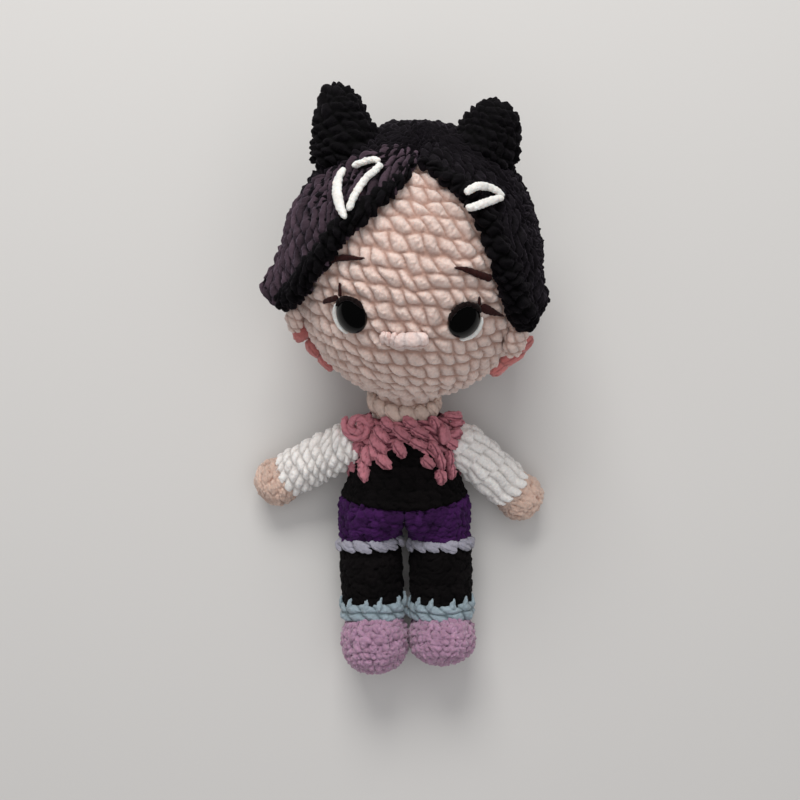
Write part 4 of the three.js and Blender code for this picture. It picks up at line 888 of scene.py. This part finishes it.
# the yoke's lower edge climbs to the middle of the chest
yoke = {"top": (48.2, 49.4, 49.6), "hem": 0.12, "lift": (-1.2, 0.3), "tuck": 1.8, "tuckFrom": 0.82,
        "side": 21.5, "back": 24,
        "shares": (0, 0.02, 0.06, 0.1, 0.14, 0.2, 0.25), "front": (38, 37, 33.5, 30, 27.5, 23.5, 21.5),
        "crochet": {"grid": (300, 70), "stitch": (7.4, 6.6), "depth": 1.4, "seed": 91, "slant": 0.95,
                    "wander": 0.15}}


def yokeEdge(u):
    toFront = np.cos(np.asarray(u) * fullTurn)
    sideways = np.abs(np.mod(np.asarray(u) + 0.5, 1) - 0.5)
    front = np.interp(sideways, yoke["shares"], yoke["front"])
    return np.where(toFront > 0, front, lerp(yoke["side"], yoke["back"], np.abs(toFront)))


def yokeSurface(u, v):
    y = lerp(yokeEdge(u), edgeAt(u, *yoke["top"]), v)
    lift = lerp(*yoke["lift"], roundEnd(v, yoke["hem"])) - yoke["tuck"] * smooth(v, yoke["tuckFrom"], 1)
    return onTorso(u, y, lift)


yarnwork("yoke_fabric", "torso", roseYarn, yokeSurface, nodes=["yoke"], **yoke["crochet"])

# long stitches that hang over the yoke's lower edge: across, along, turn from straight down, length, width
hangingStitches = [
    (-22.5, 27.0, 3, 9.4, 3.6), (-17.5, 25.0, 12, 10.6, 6.0), (-9.0, 30.4, 50, 9.0, 6.0), (-16.4, 31.7, 10, 9.6, 5.4),
    (-11.4, 37.5, 48, 10.8, 6.4), (-2.2, 36.1, 32, 9.0, 5.6), (-9.9, 42.3, 45, 9.4, 5.4), (-1.1, 42.8, 52, 10.2, 5.2),
    (6.6, 43.5, 62, 9.8, 5.4), (5.7, 38.1, 62, 9.0, 4.8), (10.1, 29.5, 50, 7.8, 5.0), (15.2, 29.9, 25, 11.4, 4.6),
    (15.6, 22.4, 20, 6.8, 5.8), (20.1, 24.2, 8, 9.0, 4.4), (12.6, 35.7, 36, 8.4, 4.4), (-24.4, 37.0, -5, 9.4, 5.0),
    (-20.6, 35.0, 5, 8.8, 5.0), (-7.2, 47.0, 50, 7.8, 5.0), (-15.4, 46.8, 40, 7.6, 5.0), (12.6, 46.6, 30, 7.4, 4.6),
    (2.6, 47.6, 56, 7.6, 4.8), (19.0, 30.4, 12, 8.8, 4.6), (-13.0, 34.2, 20, 8.6, 5.0), (-23.0, 31.8, 0, 8.8, 4.6),
]
hanging = {"lift": 0.9, "thick": 5.4, "taper": 0.1, "bow": 0.7}
hangingWidth = 0.94
places = [frontStitch(*stitch, width * hangingWidth, **hanging) for *stitch, width in hangingStitches]
backRow = {"count": 16, "above": 1.5, "lift": 1.2, "run": (0.02, -4),
           "form": {"length": 8, "width": 5, "thick": 3.6}}
for i in range(backRow["count"]):
    u = 0.25 + 0.5 * (i + 0.5) / backRow["count"]
    y = float(yokeEdge(u)) + backRow["above"]
    places.append({"at": onTorso(u, y, backRow["lift"]), "outward": onTorso(u, y, 1) - onTorso(u, y, 0),
                   "along": onTorso(u + backRow["run"][0], y + backRow["run"][1], 1) - onTorso(u, y, 1),
                   **backRow["form"]})
stitchCluster("yoke_hanging_stitches", "torso", roseYarn, places, fuzz=0.42, seed=7)
print("torso made")

# ---- a wound rosette on the right shoulder and a petalled bobble on the left one
rosette = {"at": (-17.9, 45.2), "lift": 3.0, "towards": 0.8, "turns": 1.9, "starts": 2.4, "winding": 0.8,
           "radii": (6.8, 1.0), "rise": (1.2, 3.0), "across": (1.6, 1.7, 1.7, 1.6, 1.3), "up": 2.4}
rosetteAt, rosetteOut = torsoFront(*rosette["at"], rosette["lift"])
rosetteOut = unit((1 - rosette["towards"]) * rosetteOut + rosette["towards"] * torsoOut)
torsoUp = torsoFrame["basis"][:, 1]
rosetteFrame = makeFrame(rosetteAt, torsoUp - np.dot(torsoUp, rosetteOut) * rosetteOut, np.cross(torsoUp, rosetteOut))
turns = np.linspace(0, 1, 200)
angles = turns * fullTurn * rosette["turns"] + rosette["starts"]
radii = lerp(*rosette["radii"], turns ** rosette["winding"])
spiral = np.stack([radii * np.cos(angles), radii * np.sin(angles), lerp(*rosette["rise"], turns)], -1)
spiral = put(rosetteFrame, spiral)
yarnPiece("right_rosette_yarn", "torso", roseYarn, spiral, np.broadcast_to(rosetteOut, spiral.shape),
          rosette["across"], rosette["up"], pitch=5, depth=0.25, fuzz=0.2, columns=26, spacing=0.4,
          nodes=["right_rosette"])

# the bobble's petals, as the hanging stitches
petals = [
    (15.4, 42.0, 12, 9.4, 5.6), (19.4, 40.8, 104, 9.4, 5.6), (22.4, 35.9, 80, 9.8, 5.2), (21.4, 48.2, 84, 10.0, 4.6),
    (22.4, 44.6, 94, 8.4, 4.6), (18.4, 37.6, 60, 7.6, 4.6),
]
petalForm = {"lift": 3.2, "towards": 0.55, "thick": 4.8, "taper": 0.05, "bow": 0.8}
places = [frontStitch(*petal, **petalForm) for petal in petals]
stitchCluster("left_bobble_stitches", "torso", roseYarn, places, fuzz=0.42, seed=8, nodes=["left_bobble"])

# ---- hips: each half of the shorts runs from the waist down to its leg
leg = {"radius": 14.1, "shortsEnd": 7.3, "garter": 5.4, "stocking": 22.4, "cuff": 7.6, "gap": 0.3,
       "yaw": {"left": 1, "right": 3}, "tilt": 2}
legStart = {"garter": leg["shortsEnd"] + leg["gap"]}
for above, below in (("garter", "stocking"), ("stocking", "cuff"), ("cuff", "shoe")):
    legStart[below] = legStart[above] + leg[above] + leg["gap"]
legTilt = np.radians(leg["tilt"])
sides = (("left", 1), ("right", -1))


def legFrame(side):
    yaw = np.radians(leg["yaw"][side])
    along = np.array([np.sin(yaw) * np.cos(legTilt), -np.cos(yaw) * np.cos(legTilt), -np.sin(legTilt)])
    return makeFrame(pivotOf(f"{side}_hip_bend"), along, (-1, 0, 0))


# the shorts' upper edge waves, and the black stitches of the waist lie over it
shorts = {"top": 14.0, "crotch": -13.5, "legTop": -6.0, "overlap": 1.5, "waves": 26, "waveDepth": 0.7,
          "tuck": 2.2, "tuckBand": (-0.8, 0.6), "middleGap": 0.1, "sharp": (26.0, 7.0), "legFrom": 0.3,
          "bend": (8, -10),
          "crochet": {"grid": (200, 70), "stitch": (4.8, 4.6), "depth": 2.4, "puff": 2.8, "slant": 0.5,
                      "wander": 0.3}}
for side, sign in sides:
    place = legFrame(side)

    def hipSurface(u, v):
        y = lerp(shorts["top"], shorts["crotch"], v)
        angle = fullTurn * u
        wide, deep = torsoHalf(y)
        centre = wide / 2
        dx, dz = np.sin(angle), np.cos(angle)
        # from the half's centre out to the torso's oval, or inwards to the doll's middle
        a = dx**2 / wide**2 + dz**2 / deep**2
        b = 2 * centre * dx / wide**2
        c = centre**2 / wide**2 - 1
        outer = (-b + np.sqrt(b * b - 4 * a * c)) / (2 * a)
        toMiddle = (centre - shorts["middleGap"]) / np.clip(-dx, 1e-3, None)
        sharp = lerp(*shorts["sharp"], smooth(v, 0.1, 0.7))
        reach = (outer**-sharp + np.minimum(toMiddle, 200.0) ** -sharp) ** (-1 / sharp)
        around = np.arctan2(sign * (centre + reach * dx), reach * dz)
        border = edgeAt(around / fullTurn, *waist["edge"])
        border = border + shorts["waveDepth"] * np.sin(shorts["waves"] * around)
        low, high = shorts["tuckBand"]
        reach = reach - shorts["tuck"] * smooth(y, border + low, border + high)
        half = put(torsoFrame, np.stack([sign * (centre + reach * dx), y, reach * dz], -1))
        limb = lerp(shorts["legTop"], leg["shortsEnd"] + shorts["overlap"], v)
        return lerp(half, onRing(place, leg["radius"], -sign * u, limb), smooth(v, shorts["legFrom"])[..., None])

    nodes = [f"{side}_shorts_leg", *(["shorts"] if side == "left" else [])]
    hip = yarnwork(f"{side}_shorts_fabric", None, purpleYarn, hipSurface, nodes=nodes, seed=101 + sign,
                   **shorts["crochet"])
    pivot = pivotOf(f"{side}_hip_bend")
    start, end = (tuple((pivot + (0, along, 0)) * metresPerMm) for along in shorts["bend"])
    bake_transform(hip)
    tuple(start)
    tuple(end)
print("hips made")

# ---- arms: the palm rests on the table
arm = {"radius": 10.3, "palm": 11.0, "length": 52.5, "hand": 18, "root": 7, "rest": 0.5, "shoulder": 26.5,
       "rootShare": 0.92, "wrist": 0.07}
armTilt = np.arcsin((arm["shoulder"] - arm["palm"] + arm["rest"]) / (arm["length"] - arm["palm"]))
handAt = arm["length"] - arm["hand"]


def armFrame(side, sign):
    swing = joints[f"{side}_arm_swing"]["axis"]
    flat = unit([-swing[1], swing[0], 0])
    flat = -flat if flat[0] * sign < 0 else flat
    along = flat * np.cos(armTilt) - np.array([0, 0, np.sin(armTilt)])
    return makeFrame(pivotOf(f"{side}_arm_swing"), along, np.cross(along, (0, 0, 1)))


def armRadius(y):
    tip = arm["length"] - arm["palm"]
    swell = arm["radius"] * lerp(arm["rootShare"], 1, smooth(y, arm["root"] / 2, 2 * arm["root"]))
    wrist = arm["wrist"] * np.exp(-(((y - handAt) / (arm["radius"] / 3)) ** 2))
    end = np.sqrt(np.clip(arm["palm"] ** 2 - np.clip(y - tip, 0, None) ** 2, 0, None))
    swell = swell + (arm["palm"] - arm["radius"]) * smooth(y, handAt, tip)
    start = np.sqrt(np.clip(arm["root"] ** 2 - np.clip(-y, 0, None) ** 2, 0, None)) / arm["root"]
    return np.where(y > tip, end, swell * (1 - wrist) * start)


sleeveEnd = {"grid": (150, 100), "overlap": 1.0, "lift": 0.1, "tuck": 1.4, "tuckFrom": 0.97, "poleGap": 0.01}
# the photograph shows slanted stitches on the right sleeve and long ribs across the left one
sleeves = {
    "right": {"stitch": (5.2, 5.4), "depth": 1.8, "seed": 111, "slant": 0.9, "offset": 0.3, "roundness": 0.9,
              "wander": 0.2},
    "left": {"stitch": (5.4, 9.0), "depth": 1.9, "seed": 113, "slant": 0.15, "offset": 0.1, "shape": (2.0, 3),
             "join": 0.45, "wander": 0.16},
}
hand = {"grid": (150, 70), "stitch": (5.2, 5.0), "overlap": 1.5, "poleGap": 0.02, "crowding": 1.35,
        "dimple": 1.6, "dimpleShare": 0.25, "folds": 4.5, "foldDepth": 1.5, "foldBend": 0.4, "foldSink": 0.6,
        "gather": (0.55, 0.95),
        "fabric": {"depth": 1.9, "puff": 2.8, "slant": 0.5, "wander": 0.25}}
for side, sign in sides:
    place = armFrame(side, sign)

    def sleeveSurface(u, v):
        y = lerp(-arm["root"] + sleeveEnd["poleGap"], handAt + sleeveEnd["overlap"], v)
        lift = sleeveEnd["lift"] - sleeveEnd["tuck"] * smooth(v, sleeveEnd["tuckFrom"], 1)
        return onRing(place, armRadius(y) + lift, u, y)

    nodes = (f"{side}_sleeve", f"{side}_arm_stuffing", f"{side}_arm_root")
    yarnwork(f"{side}_sleeve_fabric", f"{side}_arm", sleeveYarn, sleeveSurface, sleeveEnd["grid"],
             poles=(True, False), nodes=nodes, fill=0.9, **sleeves[side])

    def handSurface(u, v):
        y = lerp(handAt - hand["overlap"], arm["length"] - hand["poleGap"], 1 - (1 - v) ** hand["crowding"])
        dimple = hand["dimple"] * np.exp(-(((1 - v) / hand["dimpleShare"]) ** 2))
        return onRing(place, armRadius(y), u, y) - place["basis"][:, 1] * dimple[..., None]

    crinkle = crumpleFabric(stitchPlan(handSurface, *hand["stitch"]), seed=115 + sign, **hand["fabric"])

    # the tip is gathered into folds
    def handFabric(u, v, points):
        rise, relief, tone = crinkle(u, v, points)
        gather = smooth(v, *hand["gather"])
        folds = u * hand["folds"] * fullTurn / 2 + hand["foldBend"] * np.sin(2 * u * fullTurn)
        folds = np.abs(np.sin(folds))
        rise = lerp(rise, hand["foldDepth"] * (folds - hand["foldSink"]), gather)
        # in the folds the relief, and with it the painted shade, follows the folds
        return rise, lerp(relief, 0.5 + 0.5 * folds, gather), tone

    clothPiece(f"{side}_hand_fabric", f"{side}_arm", handYarn, handSurface, hand["grid"], handFabric,
               (False, True), nodes=[f"{side}_hand"], fill=0.9)
print("arms made")

# ---- legs: stocking, garter, cuff and shoe
stocking = {"overlap": 3, "lift": 0.3,
            "crochet": {"grid": (190, 70), "stitch": (6.4, 5.6), "depth": 1.6, "puff": 3.0, "slant": 0.5,
                        "wander": 0.25}}
bands = {
    "garter": {"yarn": garterYarn, "from": legStart["garter"] - 0.6, "to": legStart["garter"] + 3.4, "lift": 0.9,
               "count": 12, "at": legStart["garter"] + 3.1, "runs": (-0.95, 0.42),
               "form": {"length": 8.8, "width": 3.6, "thick": 2.8, "taper": 0.2, "bow": 0.4}},
    "cuff": {"yarn": cuffYarn, "from": legStart["cuff"] + 0.6, "to": legStart["shoe"] + 1.2, "lift": 1.1,
             "count": 11, "at": legStart["cuff"] + 0.9, "runs": (-0.3, -1.0),
             "form": {"length": 6.6, "width": 2.7, "thick": 2.0, "taper": 0.45, "bow": 0.4}},
}
bandCrochet = {"grid": (190, 26), "stitch": (7.8, 6.4), "depth": 1.3, "seed": 131, "slant": 0.6}
bandStitch = {"lift": 0.7, "first": 0.35, "uneven": 0.3, "unevenAlong": 0.6}
hemTuck = 0.8
shoe = {"half": (15.1, 14.2, 19.4), "leftShare": 0.84, "centre": 0.79, "opening": -0.86, "fullness": 2.5,
        "rest": 0.5,
        "crochet": {"grid": (210, 110), "stitch": (3.8, 3.6), "depth": 2.7, "puff": 2.7, "slant": 0.4,
                    "wander": 0.4}}


def bandSurface(place, start, end, lift):
    def surface(u, v):
        hem = np.sqrt(np.clip(np.sin(np.pi * v), 0, 1))
        return onRing(place, leg["radius"] + (lift * hem - hemTuck * (1 - hem)), u, lerp(start, end, v))

    return surface


for side, sign in sides:
    body = f"{side}_leg"
    place = legFrame(side)
    surface = bandSurface(place, legStart["stocking"] - stocking["overlap"],
                          legStart["cuff"] + stocking["overlap"], stocking["lift"])
    yarnwork(f"{side}_stocking_fabric", body, blackYarn, surface, seed=121 + sign, fill=0.9,
             nodes=(f"{side}_stocking", f"{side}_leg_stuffing"), **stocking["crochet"])

    for name, band in bands.items():
        surface = bandSurface(place, band["from"], band["to"], band["lift"])
        yarnwork(f"{side}_{name}_fabric", body, band["yarn"], surface, nodes=[f"{side}_{name}"], **bandCrochet)
        places = []
        for i in range(band["count"]):
            u = (i + bandStitch["first"] + bandStitch["uneven"] * lottery(i, 8 + sign)) / band["count"]
            spot = band["at"] + bandStitch["unevenAlong"] * (lottery(i, 5 + sign) - 0.5)
            places.append({"at": onRing(place, leg["radius"] + bandStitch["lift"], u, spot),
                           **ringStitch(place, u, *band["runs"]), **band["form"]})
        stitchCluster(f"{side}_{name}_stitches", body, band["yarn"], places, seed=9 + sign)

    wide, longHalf, tall = shoe["half"]
    longHalf = longHalf * (shoe["leftShare"] if side == "left" else 1)

    def shoeSurface(u, v):
        along = np.sin(lerp(np.arcsin(shoe["opening"]), np.pi / 2, v))
        y = legStart["shoe"] + shoe["centre"] * longHalf + along * longHalf
        ring = np.sqrt(np.clip(1 - np.abs(along) ** shoe["fullness"], 0, None))
        up = tall - shoe["rest"] - (pivotOf(f"{side}_hip_bend")[2] - np.sin(legTilt) * y)
        oval = [wide * ring * np.sin(u * fullTurn), y, tall * ring * np.cos(u * fullTurn) + up]
        return put(place, np.stack(oval, -1))

    yarnwork(f"{side}_shoe_fabric", body, shoeYarn, shoeSurface, poles=(False, True), nodes=[f"{side}_shoe"],
             fill=0.9, seed=141 + sign, **shoe["crochet"])
print("legs made")

# ---- table, light and camera, in metres
board = bmesh.new()
bmesh.ops.create_grid(board, x_segments=1, y_segments=1, size=3)
mesh = bpy.data.meshes.new("table")
board.to_mesh(mesh)
board.free()
table = finishMesh("table", None, paintedBoard("painted_board", "#cdcbc9"), mesh)


def areaLight(name, place, aim, size, watts, colour):
    light = bpy.data.lights.new(name, "AREA")
    light.shape = "RECTANGLE"
    light.size, light.size_y = size
    light.energy = watts
    light.color = linear(colour)[:3]
    lamp = bpy.data.objects.new(name, light)
    lamp.location = place
    lamp.rotation_mode = "QUATERNION"
    lamp.rotation_quaternion = (Vector(aim) - Vector(place)).to_track_quat("-Z", "Y")
    bpy.context.scene.collection.objects.link(lamp)
    return lamp


areaLight("window", (-0.12, 0.85, 0.75), (0, 0.05, 0.03), (0.6, 0.45), 8.4, "#fffefb")
ceiling = areaLight("ceiling", (0.15, 0.0, 1.5), (0, 0.05, 0), (1.6, 1.6), 7.4, "#ffffff")
ceiling.visible_glossy = False

# rays that bounce off the eyes see a dimmer room, so that the plastic stays black
roomLight = {"colour": "#e8e8ea", "strength": 0.44, "inEyes": 0.1}
world = bpy.data.worlds.new("soft_room")
world.use_nodes = True
tree = world.node_tree
tree.nodes.clear()
ray = addNode(tree, "LightPath")
strength = addNode(tree, "MapRange", {"To Min": roomLight["strength"], "To Max": roomLight["inEyes"]},
                   {"Value": (ray, "Is Glossy Ray")})
room = addNode(tree, "Background", {"Color": linear(roomLight["colour"])},
               {"Strength": (strength, "Result")})
addNode(tree, "OutputWorld", {}, {"Surface": (room, "Background")})
bpy.context.scene.world = world
bpy.context.scene.view_settings.view_transform = "Standard"

# the lens as it was fitted to the photograph: its focal length and the picture's width in pixels
lens = {"sensor": 36, "focalPixels": 1161, "widePixels": 800, "at": (-0.002, 0.0548, 0.556)}
cameraData = bpy.data.cameras.new("camera")
cameraData.sensor_width = lens["sensor"]
cameraData.lens = lens["sensor"] * lens["focalPixels"] / lens["widePixels"]
camera = bpy.data.objects.new("camera", cameraData)
camera.location = lens["at"]
bpy.context.scene.collection.objects.link(camera)
bpy.context.scene.camera = camera
